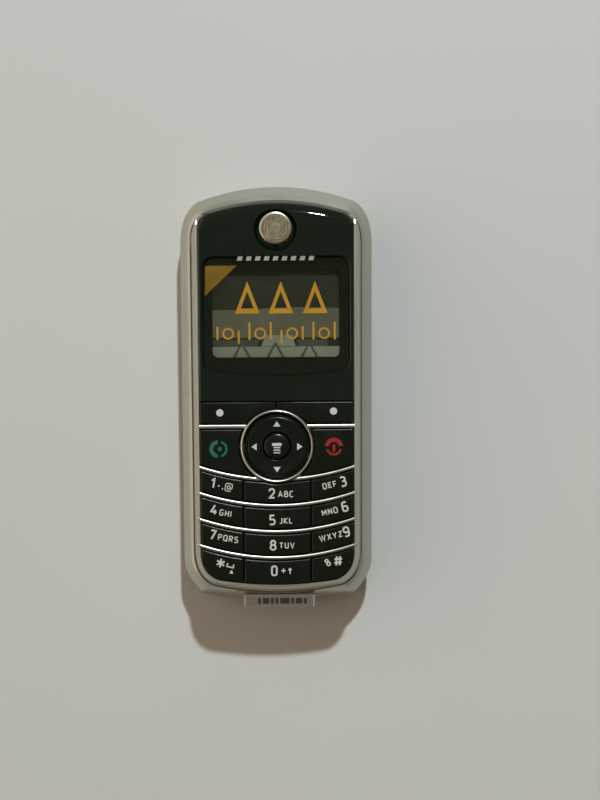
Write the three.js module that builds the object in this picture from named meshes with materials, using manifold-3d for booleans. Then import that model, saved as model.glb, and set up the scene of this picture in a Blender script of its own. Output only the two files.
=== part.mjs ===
import * as THREE from 'three';
import { mergeVertices } from 'three/addons/utils/BufferGeometryUtils.js';
import Module from 'manifold-3d';

// A small candy-bar mobile telephone, lying on its back, in millimetres.
// +X runs across the keypad, +Y towards the earpiece, +Z out of the display; z = 0 is the back.

const wasm = await Module();
wasm.setup();

// ---- Driving dimensions ----

// Plan outlines: half of each is given, and X = 0 is the mirror line.
const OUTER = {
  top: 50.4, topCorner: [18.6, 47.0], topControl: [22.9, 44.6], sideTop: [23.0, 37.0],
  sideFoot: [22.45, -38.5], footControl: [22.45, -42.9], foot: [18.2, -47.8], bottom: -49.2,
};
const PARTING = {
  top: 46.8, topCorner: [16.0, 44.4], topControl: [20.4, 43.0], sideTop: [20.5, 37.3],
  sideFoot: [19.97, -36.5], footControl: [19.9, -42.6], foot: [15.5, -44.8], bottom: -46.6,
};
const BEZEL = {
  top: 46.5, topCorner: [15.8, 44.1], topControl: [18.7, 43.4], sideTop: [18.8, 41.0],
  sideFoot: [18.4, -36.4], footControl: [18.3, -41.9], foot: [14.0, -43.4], bottom: -44.5,
};
const FIELD = {
  top: 46.6, topCorner: [15.9, 44.2], topControl: [18.3, 43.5], sideTop: [18.5, 41.2],
  sideFoot: [18.1, -36.5], footControl: [18.0, -41.6], foot: [13.8, -43.1], bottom: -44.2,
};
const CURVE_STEPS = 5;

// Heights, from the back to the front.
const Z = {
  coverFace: 1.2, coverRim: 3.0, coverLedge: 3.3, bayCeiling: 6.85, floorTop: 8.6,
  widest: 8.4, seam: 12.6, frontFoot: 12.8, boardBack: 11.9, boardFront: 12.9,
  deckBack: 15.6, deckFront: 16.4, bezel: 18.2, lensBack: 16.6, lensFront: 18.6,
  keyBack: 16.4, keyFront: 18.7, ringFront: 18.8, menuFront: 19.0,
};
const WALL = 1.5;
const GAP = 0.3;
// Larger than the case, for the blocks that cut one side of a solid away.
const FAR = 60;

// Battery bay, cover and SIM recess.
const COVER_TOP = 13.3;
const BAY = { halfWidth: 17.6, top: 12.0, foot: -41.2 };
const BATTERY = { halfWidth: 17.0, top: 11.0, foot: -40.4, back: 1.5, front: 6.3 };
const SIM = { halfWidth: 7.5, length: 25, top: 8.0, back: 7.0, thick: 0.8, travel: 14 };
const SIM_HOLDER = { halfWidth: 8.6, foot: -6.0, top: -2.0, back: 6.45, front: 6.75 };

// Keypad field.
const SEAM_Y = -1.0;
const BAR_Y = -6.96;
const BAR_THICK = 0.95;
const NAV = { y: -11.6, ringOuter: 8.77, ringInner: 7.87, disc: 7.55, back: 16.65, hole: 3.35, menu: 3.05 };
const NAV_PAD = { outer: 5.4, inner: 3.4, back: 16.0, front: 16.3 };
const RIB_RADIUS = 57;
const RIB_THICK = 0.9;
const RIB_REACH = 18.4;
const FIRST_RIB = -19.5;
const ROW_PITCH = 6.13;
const COLUMN_EDGE = 7.9;
const KEY_GAP = 0.22;

// Lens plate, window and emblem.
const POCKET = { halfWidth: 17.1, top: 32.7, foot: 5.0 };
const WINDOW = { halfWidth: 15.0, top: 30.25, foot: 9.35 };
const EMBLEM = { y: 39.7, radius: 3.86, well: 5.0, wellY: 39.3, floor: 17.4 };
const PANE = { back: 17.05, front: 17.7 };
const FILM = { back: 17.75, front: 17.87 };
const LCD = { halfWidth: 15.8, foot: 5.6, top: 32.4, trayFloor: 13.6, front: 15.3 };
const PORT_Y = EMBLEM.y - 3.4;
// Above this the lens plate turns down over the case's end.
const LIP_FOOT = 43.4;
const MESH = { radius: 2.6, back: 16.43, front: 16.57 };

// ---- Colours ----

const paint = (color, roughness, metalness) => (
  new THREE.MeshStandardMaterial({ color, roughness, metalness }));
const SILVER = paint(0xc9c6bf, 0.38, 0.55);
const BLACK_GLOSS = paint(0x14171a, 0.12, 0.0);
const KEY_BLACK = paint(0x1b1d1c, 0.3, 0.0);
const CLEAR = paint(0x9aa09a, 0.05, 0.0);
const STEEL = paint(0xb4b6b4, 0.3, 1.0);
const GREEN_BOARD = paint(0x1f5a38, 0.5, 0.0);
const DARK_PLASTIC = paint(0x2b2d2f, 0.6, 0.0);
const GREY_PLASTIC = paint(0x4a4d50, 0.55, 0.0);
const RUBBER_GREY = paint(0x8f8f8c, 0.8, 0.0);
const GOLD = paint(0xc79a3d, 0.3, 1.0);
const PAPER = paint(0xdad7cf, 0.8, 0.0);

// ---- Solids ----

function solid(geometry) {
  geometry.deleteAttribute('normal');
  geometry.deleteAttribute('uv');
  const merged = mergeVertices(geometry, 1e-4);
  return new wasm.Manifold(new wasm.Mesh({
    numProp: 3,
    vertProperties: new Float32Array(merged.attributes.position.array),
    triVerts: new Uint32Array(merged.index.array),
  }));
}

function geometryOf(body) {
  const mesh = body.getMesh();
  const geometry = new THREE.BufferGeometry();
  geometry.setAttribute('position', new THREE.BufferAttribute(new Float32Array(mesh.vertProperties), 3));
  geometry.setIndex(new THREE.BufferAttribute(new Uint32Array(mesh.triVerts), 1));
  geometry.computeVertexNormals();
  return geometry;
}

// An axis-aligned block between two corners.
function block(x0, x1, y0, y1, z0, z1) {
  const geometry = new THREE.BoxGeometry(x1 - x0, y1 - y0, z1 - z0);
  geometry.translate((x0 + x1) / 2, (y0 + y1) / 2, (z0 + z1) / 2);
  return solid(geometry);
}

// A round post along Z.
function post(x, y, radius, z0, z1, sides = 20) {
  const geometry = new THREE.CylinderGeometry(radius, radius, z1 - z0, sides);
  geometry.rotateX(Math.PI / 2);
  geometry.translate(x, y, (z0 + z1) / 2);
  return solid(geometry);
}

function prism(points, z0, z1) {
  const shape = new THREE.Shape(points);
  const geometry = new THREE.ExtrudeGeometry(shape, { depth: z1 - z0, bevelEnabled: false });
  geometry.translate(0, 0, z0);
  return solid(geometry);
}

// A rectangle with rounded corners, as points.
function roundedRectangle(x0, x1, y0, y1, radius, steps = 3) {
  const points = [];
  const corners = [[x1 - radius, y1 - radius], [x0 + radius, y1 - radius],
    [x0 + radius, y0 + radius], [x1 - radius, y0 + radius]];
  corners.forEach(([cx, cy], quarter) => {
    for (let i = 0; i <= steps; i += 1) {
      const angle = (quarter + i / steps) * Math.PI / 2;
      points.push(new THREE.Vector2(cx + radius * Math.cos(angle), cy + radius * Math.sin(angle)));
    }
  });
  return points;
}

// The closed plan outline of the case at one level.
function outline(o) {
  const shape = new THREE.Shape();
  shape.moveTo(0, o.bottom);
  shape.quadraticCurveTo(o.foot[0] / 2, o.bottom, o.foot[0], o.foot[1]);
  shape.quadraticCurveTo(...o.footControl, ...o.sideFoot);
  shape.lineTo(...o.sideTop);
  shape.quadraticCurveTo(...o.topControl, ...o.topCorner);
  shape.quadraticCurveTo(o.topCorner[0] / 2, o.top, 0, o.top);
  shape.quadraticCurveTo(-o.topCorner[0] / 2, o.top, -o.topCorner[0], o.topCorner[1]);
  shape.quadraticCurveTo(-o.topControl[0], o.topControl[1], -o.sideTop[0], o.sideTop[1]);
  shape.lineTo(-o.sideFoot[0], o.sideFoot[1]);
  shape.quadraticCurveTo(-o.footControl[0], o.footControl[1], -o.foot[0], o.foot[1]);
  shape.quadraticCurveTo(-o.foot[0] / 2, o.bottom, 0, o.bottom);
  const points = shape.getPoints(CURVE_STEPS);
  points.pop();
  return points;
}

// Draws an outline in by a margin on every side.
function inset(points, margin) {
  const halfX = Math.max(...points.map((p) => p.x));
  const halfY = Math.max(...points.map((p) => p.y));
  const shrink = (p) => new THREE.Vector2(p.x * (1 - margin / halfX), p.y * (1 - margin / halfY));
  return points.map(shrink);
}

function mix(from, to, share) {
  return from.map((p, i) => p.clone().lerp(to[i], share));
}

// Pulls only the earpiece end of an outline back, for the rolled end of the lens plate.
function pullTop(points, distance) {
  const start = 30;
  const reach = FIELD.top - start;
  return points.map((p) => new THREE.Vector2(p.x, p.y - distance * Math.max(0, (p.y - start) / reach)));
}

// Moves only the keypad end of an outline in, so that the end stands steeper than the sides.
function pullFoot(points, distance) {
  const start = -40;
  const reach = start - OUTER.bottom;
  return points.map((p) => new THREE.Vector2(p.x, p.y + distance * Math.max(0, (start - p.y) / reach)));
}

// A solid whose walls run through a list of levels [z, outline points], all with equal point counts.
function loft(levels) {
  const base = levels[0][1];
  const steps = levels.length - 1;
  const settings = { depth: steps, steps, bevelEnabled: false };
  const geometry = new THREE.ExtrudeGeometry(new THREE.Shape(base), settings);
  const position = geometry.attributes.position;
  const nearest = (x, y) => {
    const distances = base.map((p) => Math.hypot(p.x - x, p.y - y));
    return distances.indexOf(Math.min(...distances));
  };
  for (let i = 0; i < position.count; i += 1) {
    const point = nearest(position.getX(i), position.getY(i));
    const [z, points] = levels[Math.round(position.getZ(i))];
    position.setXYZ(i, points[point].x, points[point].y, z);
  }
  return solid(geometry);
}

const outer = outline(OUTER);
const parting = outline(PARTING);
const bezel = outline(BEZEL);
const field = outline(FIELD);

// The rear half of the case as one solid pillow, from the flat back up to the seam.
function rearPillow() {
  return loft([
    [0, inset(outer, 5.6)], [0.4, inset(outer, 4.0)],
    [1.4, pullFoot(inset(outer, 2.2), -0.9)], [3.2, pullFoot(inset(outer, 0.9), -0.9)],
    [5.5, pullFoot(inset(outer, 0.25), 0.1)], [Z.widest, pullFoot(outer, 1.1)],
    [10.2, pullFoot(mix(outer, parting, 0.3), 0.9)], [11.6, pullFoot(mix(outer, parting, 0.62), 0.6)],
    [Z.seam, parting],
  ]);
}

// ---- The scene graph ----

const phone = new THREE.Group();
function add(name, body, material) {
  const mesh = new THREE.Mesh(geometryOf(body), material);
  mesh.name = name;
  phone.add(mesh);
}

// Screws hold the rear housing and board to the front housing's bosses.
const SCREW = { head: 1.5, headHeight: 1.0, shank: 0.75, tip: 14.6 };
const SCREWS = [
  { place: 'upper_left', x: -16.8, y: 38, back: 5.0 },
  { place: 'upper_right', x: 16.8, y: 38, back: 5.0 },
  { place: 'lower_left', x: -16.4, y: -36.4, back: 7.0 },
  { place: 'lower_right', x: 16.4, y: -36.4, back: 7.0 },
];

// ---- Rear housing, cover and battery ----

const COVER_SPLIT = COVER_TOP + GAP;
const LATCH = { halfWidth: 4.0, foot: 15.2, top: 18.6, back: 0.3, front: 1.9, travel: 1.2 };
const MIC = { x: -8.7, halfWidth: 1.0, foot: -50, top: -44 };
const JACK = { y: 22, z: 6.7, outer: 1.9, bore: 1.25 };
const CHARGER = { y: 26, z: 6.9, halfLength: 4.2, halfHeight: 1.25 };
const SOUND_SLOT = { count: 5, pitch: 2.4, halfWidth: 0.6, foot: 27, top: 32 };
const RINGER_ROOM = { halfWidth: 16, foot: 19.6, top: 42, back: 1.5, front: 5 };

function rearHousing() {
  const cavity = loft([
    [4.6, inset(outer, 3.2)], [7.0, inset(outer, 1.9)], [9.4, inset(outer, 1.9)],
    [11.4, inset(parting, 1.2)], [Z.seam + 1, inset(parting, 1.2)],
  ]);
  const tub = block(-BAY.halfWidth - WALL, BAY.halfWidth + WALL, BAY.foot - WALL, BAY.top + WALL,
    Z.coverLedge, Z.floorTop);
  const bay = block(-BAY.halfWidth, BAY.halfWidth, BAY.foot, BAY.top, -1, Z.bayCeiling);
  const coverRoom = block(-FAR, FAR, -FAR, COVER_SPLIT, -1, Z.coverLedge);
  const topRoom = block(-RINGER_ROOM.halfWidth, RINGER_ROOM.halfWidth, RINGER_ROOM.foot, RINGER_ROOM.top,
    RINGER_ROOM.back, RINGER_ROOM.front);
  const recess = block(-SIM.halfWidth - GAP, SIM.halfWidth + GAP,
    SIM.top - SIM.length - SIM.travel - 0.5, SIM.top + GAP,
    Z.bayCeiling - 1, SIM.back + SIM.thick + GAP / 2);
  const latchRoof = LATCH.front + GAP;
  const latchSlot = block(-LATCH.halfWidth - GAP, LATCH.halfWidth + GAP, LATCH.foot - GAP,
    LATCH.top + LATCH.travel + GAP, -1, latchRoof);
  const latchStep = block(-LATCH.halfWidth + 1, LATCH.halfWidth - 1, COVER_SPLIT - 1, LATCH.foot,
    -1, latchRoof);
  let body = rearPillow().subtract(cavity).add(tub).subtract(bay).subtract(coverRoom);
  body = body.subtract(topRoom).subtract(recess).subtract(latchSlot).subtract(latchStep);
  SCREWS.forEach(({ x, y, back }) => {
    const seat = back + SCREW.headHeight + 0.1;
    const foot = y > COVER_SPLIT ? 1.0 : Z.bayCeiling;
    body = body.add(post(x, y, SCREW.head + 0.9, foot, Z.floorTop));
    body = body.subtract(post(x, y, SCREW.head + 0.2, -1, seat));
    body = body.subtract(post(x, y, SCREW.shank + 0.3, seat - 0.5, Z.floorTop + 1, 12));
  });
  for (let i = 0; i < SOUND_SLOT.count; i += 1) {
    const x = (i - (SOUND_SLOT.count - 1) / 2) * SOUND_SLOT.pitch;
    body = body.subtract(block(x - SOUND_SLOT.halfWidth, x + SOUND_SLOT.halfWidth,
      SOUND_SLOT.foot, SOUND_SLOT.top, -1, RINGER_ROOM.back + 0.5));
  }
  const jackHole = new THREE.CylinderGeometry(JACK.outer + GAP / 2, JACK.outer + GAP / 2, 6, 20);
  jackHole.rotateZ(Math.PI / 2);
  jackHole.translate(-22, JACK.y, JACK.z);
  const chargerHole = block(17, 25,
    CHARGER.y - CHARGER.halfLength - GAP, CHARGER.y + CHARGER.halfLength + GAP,
    CHARGER.z - CHARGER.halfHeight - GAP, CHARGER.z + CHARGER.halfHeight + GAP);
  const micHole = block(MIC.x - MIC.halfWidth, MIC.x + MIC.halfWidth, MIC.foot, MIC.top,
    Z.seam - 0.7, Z.seam + 1);
  return body.subtract(solid(jackHole)).subtract(chargerHole).subtract(micHole);
}

function batteryCover() {
  const region = block(-FAR, FAR, -FAR, COVER_TOP, -1, Z.coverRim);
  const pocket = loft([[Z.coverFace, inset(outer, 3.7)], [Z.coverRim + 1, inset(outer, 2.2)]]);
  const openEnd = block(-18, 18, 0, COVER_TOP + 1, Z.coverFace, Z.coverRim + 1);
  return rearPillow().intersect(region).subtract(pocket).subtract(openEnd);
}

function battery() {
  const cell = roundedRectangle(-BATTERY.halfWidth, BATTERY.halfWidth, BATTERY.foot, BATTERY.top, 1.0, 2);
  return prism(cell, BATTERY.back, BATTERY.front);
}

// The thumb button, with a tongue that runs over the cover's edge.
function coverLatch() {
  const plan = roundedRectangle(-LATCH.halfWidth, LATCH.halfWidth, LATCH.foot, LATCH.top, 0.8);
  const tongue = block(-LATCH.halfWidth + 1.3, LATCH.halfWidth - 1.3, COVER_SPLIT, LATCH.foot + 1,
    1.35, LATCH.front);
  return prism(plan, LATCH.back, LATCH.front).add(tongue);
}

function simCard() {
  const plan = roundedRectangle(-SIM.halfWidth, SIM.halfWidth, SIM.top - SIM.length, SIM.top, 0.6, 1);
  return prism(plan, SIM.back, SIM.back + SIM.thick);
}

add('rear_housing', rearHousing(), SILVER);
add('battery_cover', batteryCover(), GREY_PLASTIC);
add('battery', battery(), DARK_PLASTIC);
add('cover_latch', coverLatch(), GREY_PLASTIC);
add('sim_card', simCard(), PAPER);
add('sim_holder', block(-SIM_HOLDER.halfWidth, SIM_HOLDER.halfWidth, SIM_HOLDER.foot, SIM_HOLDER.top,
  SIM_HOLDER.back, SIM_HOLDER.front), STEEL);

SCREWS.forEach(({ place, x, y, back }) => {
  const head = post(x, y, SCREW.head, back, back + SCREW.headHeight, 14);
  const drive = post(x, y, 0.7, back - 1, back + 0.6, 6);
  const shank = post(x, y, SCREW.shank, back + SCREW.headHeight - 0.2, SCREW.tip, 10);
  add(`screw_${place}`, head.subtract(drive).add(shank), STEEL);
});

// ---- Front housing ----

// Height of a rib's arc above its lowest point, at a distance from the middle.
const ribLift = (x) => RIB_RADIUS - Math.sqrt(RIB_RADIUS ** 2 - x ** 2);

// A band between two curves that both rise towards the sides.
function band(x0, x1, lowMiddle, highMiddle, z0, z1, steps = 6) {
  const points = [];
  for (let i = 0; i <= steps; i += 1) {
    const x = x0 + (x1 - x0) * i / steps;
    points.push(new THREE.Vector2(x, lowMiddle + ribLift(x)));
  }
  for (let i = steps; i >= 0; i -= 1) {
    const x = x0 + (x1 - x0) * i / steps;
    points.push(new THREE.Vector2(x, highMiddle + ribLift(x)));
  }
  return prism(points, z0, z1);
}

function frontHousing() {
  const shell = loft([[Z.frontFoot, parting], [14.6, mix(parting, bezel, 0.12)],
    [16.4, mix(parting, bezel, 0.42)], [17.6, mix(parting, bezel, 0.75)], [Z.bezel, bezel]]);
  const cavity = loft([[Z.frontFoot - 1, inset(parting, WALL)], [Z.deckBack, inset(field, 0.3)]]);
  const above = (y) => block(-FAR, FAR, y, FAR, 0, FAR);
  const below = (y) => block(-FAR, FAR, -FAR, y, 0, FAR);
  const lensRoom = prism(field, Z.deckFront, Z.bezel + 1).intersect(above(SEAM_Y + 0.1));
  const lipRoom = block(-FAR, FAR, LIP_FOOT - 0.4, FAR, Z.frontFoot + 0.3, FAR);
  const keyRoom = prism(field, Z.deckBack - 1, Z.bezel + 1).intersect(below(SEAM_Y + 0.2));
  const lcdRoom = block(-LCD.halfWidth, LCD.halfWidth, 8.0, 31.6, Z.deckBack - 1, Z.deckFront + 1);
  const earRoom = post(0, EMBLEM.y - 4, 3.2, Z.deckBack - 1, Z.deckFront + 1);
  let body = shell.subtract(cavity).subtract(lensRoom).subtract(lipRoom).subtract(keyRoom);
  body = body.subtract(lcdRoom).subtract(earRoom);
  const ribs = [0, 1, 2, 3].map((i) => FIRST_RIB - i * ROW_PITCH);
  const ribBack = Z.deckBack + 0.6;
  ribs.forEach((y) => {
    const rib = band(-RIB_REACH, RIB_REACH, y - RIB_THICK / 2, y + RIB_THICK / 2, ribBack, Z.bezel, 10);
    body = body.add(rib);
  });
  body = body.add(block(-RIB_REACH, RIB_REACH, BAR_Y - BAR_THICK / 2, BAR_Y + BAR_THICK / 2,
    ribBack, Z.bezel));
  body = body.add(post(0, NAV.y, NAV.ringOuter, ribBack, Z.ringFront, 40));
  body = body.subtract(post(0, NAV.y, NAV.ringInner, ribBack - 1, Z.ringFront + 1, 40));
  const bossBack = Z.frontFoot + 0.3;
  const bossFront = Z.deckBack + 0.1;
  SCREWS.forEach(({ x, y }) => {
    const boss = post(x, y, 1.9, bossBack, bossFront, 14);
    const wallX = Math.sign(x) * 19;
    const web = block(Math.min(x, wallX), Math.max(x, wallX), y - 0.8, y + 0.8, bossBack, bossFront);
    const bore = post(x, y, SCREW.shank + 0.15, Z.frontFoot - 1, SCREW.tip + 0.5, 10);
    body = body.add(boss).add(web).subtract(bore);
  });
  const micHole = block(MIC.x - MIC.halfWidth, MIC.x + MIC.halfWidth, MIC.foot, MIC.top,
    Z.frontFoot - 1, Z.frontFoot + 0.5);
  return body.subtract(micHole);
}

add('front_housing', frontHousing(), SILVER);

// ---- Lens plate, window, film and emblem ----

function lensPlate() {
  const plan = inset(field, 0.15);
  const levels = [[13.4, 0], [15.8, 0.2], [17.2, 0.9], [18.1, 2.2], [Z.lensFront, 4.2]];
  const whole = loft(levels.map(([z, distance]) => [z, pullTop(plan, distance)]));
  const underside = block(-FAR, FAR, -FAR, LIP_FOOT, 0, Z.lensBack);
  const lipHollow = prism(inset(plan, WALL), 0, Z.deckBack - 0.2);
  const keypadSide = block(-FAR, FAR, -FAR, SEAM_Y + 0.1, 0, FAR);
  const opening = (o, radius) => roundedRectangle(-o.halfWidth, o.halfWidth, o.foot, o.top, radius);
  const pocket = prism(opening(POCKET, 2.2), PANE.back - 0.05, FAR);
  const window = prism(opening(WINDOW, 1.4), 0, FAR);
  const well = post(0, EMBLEM.wellY, EMBLEM.well, EMBLEM.floor, FAR, 32);
  const smallPort = (x) => post(x, PORT_Y + 0.5, 0.5, 0, FAR, 10);
  const ports = post(0, PORT_Y, 1.0, 0, FAR, 12).add(smallPort(-2.4)).add(smallPort(2.4));
  return whole.subtract(underside).subtract(lipHollow).subtract(keypadSide).subtract(pocket)
    .subtract(window).subtract(well).subtract(ports);
}

function emblem() {
  const profile = [[0, 17.45], [3.2, 17.45], [EMBLEM.radius, 17.8], [EMBLEM.radius, 18.45],
    [EMBLEM.radius - 0.3, 18.7], [0, 18.75]];
  const geometry = new THREE.LatheGeometry(profile.map(([r, z]) => new THREE.Vector2(r, z)), 32);
  geometry.rotateX(Math.PI / 2);
  geometry.translate(0, EMBLEM.y, 0);
  return solid(geometry);
}

function pane(margin, z0, z1) {
  const points = roundedRectangle(-POCKET.halfWidth + margin, POCKET.halfWidth - margin,
    POCKET.foot + margin, POCKET.top - margin, 2.0);
  return prism(points, z0, z1);
}

add('front_lens_plate', lensPlate(), BLACK_GLOSS);
add('display_window', pane(0.1, PANE.back, PANE.front), CLEAR);
add('display_film', pane(0.3, FILM.back, FILM.front), CLEAR);
add('emblem_disc', emblem(), STEEL);
add('earpiece_mesh', post(0, PORT_Y, MESH.radius, MESH.back, MESH.front), DARK_PLASTIC);

// ---- Keys ----

// What lies inside the black field, with a running gap to the housing.
const keyField = prism(inset(field, KEY_GAP), Z.keyBack, Z.keyFront);
const ringRoom = post(0, NAV.y, NAV.ringOuter + KEY_GAP, 0, FAR, 40);

// A key cap: one column's width of the band between two ribs.
function keyCap(x0, x1, lowMiddle, highMiddle) {
  return band(x0, x1, lowMiddle, highMiddle, Z.keyBack, Z.keyFront).intersect(keyField).subtract(ringRoom);
}

const COLUMNS = [[-RIB_REACH, -COLUMN_EDGE - KEY_GAP / 2],
  [-COLUMN_EDGE + KEY_GAP / 2, COLUMN_EDGE - KEY_GAP / 2], [COLUMN_EDGE + KEY_GAP / 2, RIB_REACH]];
const KEY_NAMES = ['key_1', 'key_2', 'key_3', 'key_4', 'key_5', 'key_6', 'key_7', 'key_8', 'key_9',
  'key_star', 'key_0', 'key_hash'];
const KEY_MARGIN = RIB_THICK / 2 + KEY_GAP;

KEY_NAMES.forEach((name, i) => {
  const row = Math.floor(i / 3);
  const [x0, x1] = COLUMNS[i % 3];
  const upper = FIRST_RIB - row * ROW_PITCH;
  const lower = row === 3 ? FIELD.bottom - 6 : upper - ROW_PITCH;
  add(name, keyCap(x0, x1, lower + KEY_MARGIN, upper - KEY_MARGIN), KEY_BLACK);
});

const aboveRib = (x0, x1) => band(x0, x1, FIRST_RIB + KEY_MARGIN, 0, Z.keyBack, Z.keyFront, 8);
const callRoom = block(-FAR, FAR, -FAR, BAR_Y - BAR_THICK / 2 - KEY_GAP, 0, FAR);
const softRoom = block(-FAR, FAR, BAR_Y + BAR_THICK / 2 + KEY_GAP, SEAM_Y - 0.2, 0, FAR);
const sideKey = (x0, x1, room) => (
  aboveRib(x0, x1).intersect(room).intersect(keyField).subtract(ringRoom));
add('call_key', sideKey(-RIB_REACH, -4, callRoom), KEY_BLACK);
add('end_key', sideKey(4, RIB_REACH, callRoom), KEY_BLACK);
add('soft_key_left', sideKey(-RIB_REACH, -KEY_GAP / 2, softRoom), KEY_BLACK);
add('soft_key_right', sideKey(KEY_GAP / 2, RIB_REACH, softRoom), KEY_BLACK);

function navDisc() {
  const profile = [[NAV.hole, NAV.back], [NAV.disc, NAV.back], [NAV.disc, 17.9], [7.0, 18.35], [4.6, 18.2],
    [NAV.hole, 18.35], [NAV.hole, NAV.back]];
  const geometry = new THREE.LatheGeometry(profile.map(([r, z]) => new THREE.Vector2(r, z)), 40);
  geometry.rotateX(Math.PI / 2);
  geometry.translate(0, NAV.y, 0);
  return solid(geometry);
}
add('nav_disc', navDisc(), KEY_BLACK);
add('nav_pad', post(0, NAV.y, NAV_PAD.outer, NAV_PAD.back, NAV_PAD.front, 24)
  .subtract(post(0, NAV.y, NAV_PAD.inner, 0, FAR, 24)), RUBBER_GREY);
add('menu_key', post(0, NAV.y, NAV.menu, Z.keyBack, Z.menuFront - 0.25, 28)
  .add(post(0, NAV.y, NAV.menu - 0.4, Z.keyBack, Z.menuFront, 28)), KEY_BLACK);

// ---- Keypad mat, domes and board ----

const MAT = { halfWidth: 14.1, top: -2.0, foot: -42.0, back: 14.9, front: 15.7 };
const DOMES = { back: 12.95, front: 13.15 };
const PLUNGER = { radius: 0.9, back: 13.25, navReach: 5.4 };
const plungerPlaces = [[-11, -4.2], [11, -4.2], [-13.4, -12.1], [13.4, -12.1], [0, NAV.y],
  [0, NAV.y + PLUNGER.navReach], [0, NAV.y - PLUNGER.navReach],
  [-PLUNGER.navReach, NAV.y], [PLUNGER.navReach, NAV.y]];
[-11.5, 0, 11.5].forEach((x) => {
  for (let row = 0; row < 4; row += 1) {
    plungerPlaces.push([x, FIRST_RIB - (row + 0.5) * ROW_PITCH + ribLift(x)]);
  }
});

function keypadMat() {
  const plan = roundedRectangle(-MAT.halfWidth, MAT.halfWidth, MAT.foot, MAT.top, 2.5);
  const sheet = prism(plan, MAT.back, MAT.front);
  const plungers = plungerPlaces.map(([x, y]) => (
    post(x, y, PLUNGER.radius, PLUNGER.back, MAT.back + 0.1, 8)));
  return plungers.reduce((body, plunger) => body.add(plunger), sheet);
}

function mainBoard() {
  const plate = prism(inset(parting, 2.1), Z.boardBack, Z.boardFront);
  const holes = SCREWS.map(({ x, y }) => post(x, y, SCREW.shank + 0.4, 0, FAR, 10));
  return holes.reduce((body, hole) => body.subtract(hole), plate);
}

add('keypad_mat', keypadMat(), RUBBER_GREY);
const domePlan = roundedRectangle(-MAT.halfWidth, MAT.halfWidth, MAT.foot, MAT.top, 1.5, 2);
add('dome_sheet', prism(domePlan, DOMES.back, DOMES.front), STEEL);
add('main_board', mainBoard(), GREEN_BOARD);

// A pressed shield can, open towards the board.
const CAN = { wall: 0.3, back: 9.0, front: 11.8 };
function shieldCan(halfWidth, foot, top) {
  const inner = halfWidth - CAN.wall;
  const hollow = roundedRectangle(-inner, inner, foot + CAN.wall, top - CAN.wall, 0.8, 2);
  return prism(roundedRectangle(-halfWidth, halfWidth, foot, top, 1, 2), CAN.back, CAN.front)
    .subtract(prism(hollow, CAN.back + CAN.wall, CAN.front + 1));
}
add('shield_can_radio', shieldCan(15, 14.5, 31), STEEL);
add('shield_can_logic', shieldCan(13, -34, 6), STEEL);

// ---- Display stack, sounders and connectors ----

const layer = (back, front) => block(-LCD.halfWidth, LCD.halfWidth, LCD.foot, LCD.top, back, front);
const trayHollow = block(-16, 16, LCD.foot - 0.2, LCD.top + 0.2, LCD.trayFloor, Z.deckFront);
add('lcd_frame', block(-17, 17, 2, 33.6, 13.0, LCD.front).subtract(trayHollow), DARK_PLASTIC);
add('lcd_panel', layer(14.3, LCD.front), CLEAR);
add('backlight', layer(LCD.trayFloor + 0.05, 14.2), PAPER);

const EAR_SPEAKER = { y: 38.2, radius: 3.9, back: 13.0, front: 15.4 };
const RINGER = { y: 27.0, radius: 6.5, back: 2.4, front: 5.4 };
const MIC_CAPSULE = { y: -41.6, radius: 1.9, back: 9.9, front: 11.8 };
const capsule = (x, o, sides) => post(x, o.y, o.radius, o.back, o.front, sides);
add('earpiece_speaker', capsule(0, EAR_SPEAKER, 24), STEEL);
add('ringer_speaker', capsule(0, RINGER, 28), STEEL);
add('microphone', capsule(MIC.x, MIC_CAPSULE, 18), STEEL);

const cylinderAlongX = (x0, x1, y, z, radius, sides = 20) => {
  const geometry = new THREE.CylinderGeometry(radius, radius, x1 - x0, sides);
  geometry.rotateZ(Math.PI / 2);
  geometry.translate((x0 + x1) / 2, y, z);
  return solid(geometry);
};

const MOTOR = { y: 37.0, z: 4.6 };
const shaft = cylinderAlongX(7, 12.4, MOTOR.y, MOTOR.z, 0.4, 10);
add('vibration_motor', cylinderAlongX(-3, 8, MOTOR.y, MOTOR.z, 2.0).add(shaft), STEEL);
const halfDisc = cylinderAlongX(9, 12, MOTOR.y, MOTOR.z, 1.9, 24)
  .subtract(block(0, 20, MOTOR.y - 3, MOTOR.y + 3, MOTOR.z + 0.9, MOTOR.z + 5));
add('vibration_weight', halfDisc.subtract(cylinderAlongX(8, 13, MOTOR.y, MOTOR.z, 0.5, 10)), STEEL);

const CARRIER = { halfWidth: 14, foot: 33.5, top: 41.5, back: 7.2, front: 9.4 };
add('antenna_carrier', block(-CARRIER.halfWidth, CARRIER.halfWidth, CARRIER.foot, CARRIER.top,
  CARRIER.back, CARRIER.front), DARK_PLASTIC);
add('antenna_plate', block(-CARRIER.halfWidth + 0.6, CARRIER.halfWidth - 0.6, CARRIER.foot + 0.7,
  CARRIER.top - 0.7, CARRIER.front + 0.1, CARRIER.front + 0.4), GOLD);
add('battery_contacts', block(-4.5, 4.5, 14.2, 17.8, 6.2, 8.2), DARK_PLASTIC);
add('headset_jack', cylinderAlongX(-22.5, -13.0, JACK.y, JACK.z, JACK.outer).subtract(
  cylinderAlongX(-23, -13.8, JACK.y, JACK.z, JACK.bore)), DARK_PLASTIC);
add('charge_connector', block(15.2, 22.4, CHARGER.y - CHARGER.halfLength, CHARGER.y + CHARGER.halfLength,
  CHARGER.z - CHARGER.halfHeight, CHARGER.z + CHARGER.halfHeight).subtract(
  block(17.6, 23, CHARGER.y - 3.4, CHARGER.y + 3.4, CHARGER.z - 0.7, CHARGER.z + 0.7)), STEEL);

// ---- Label on the keypad end ----

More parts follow.
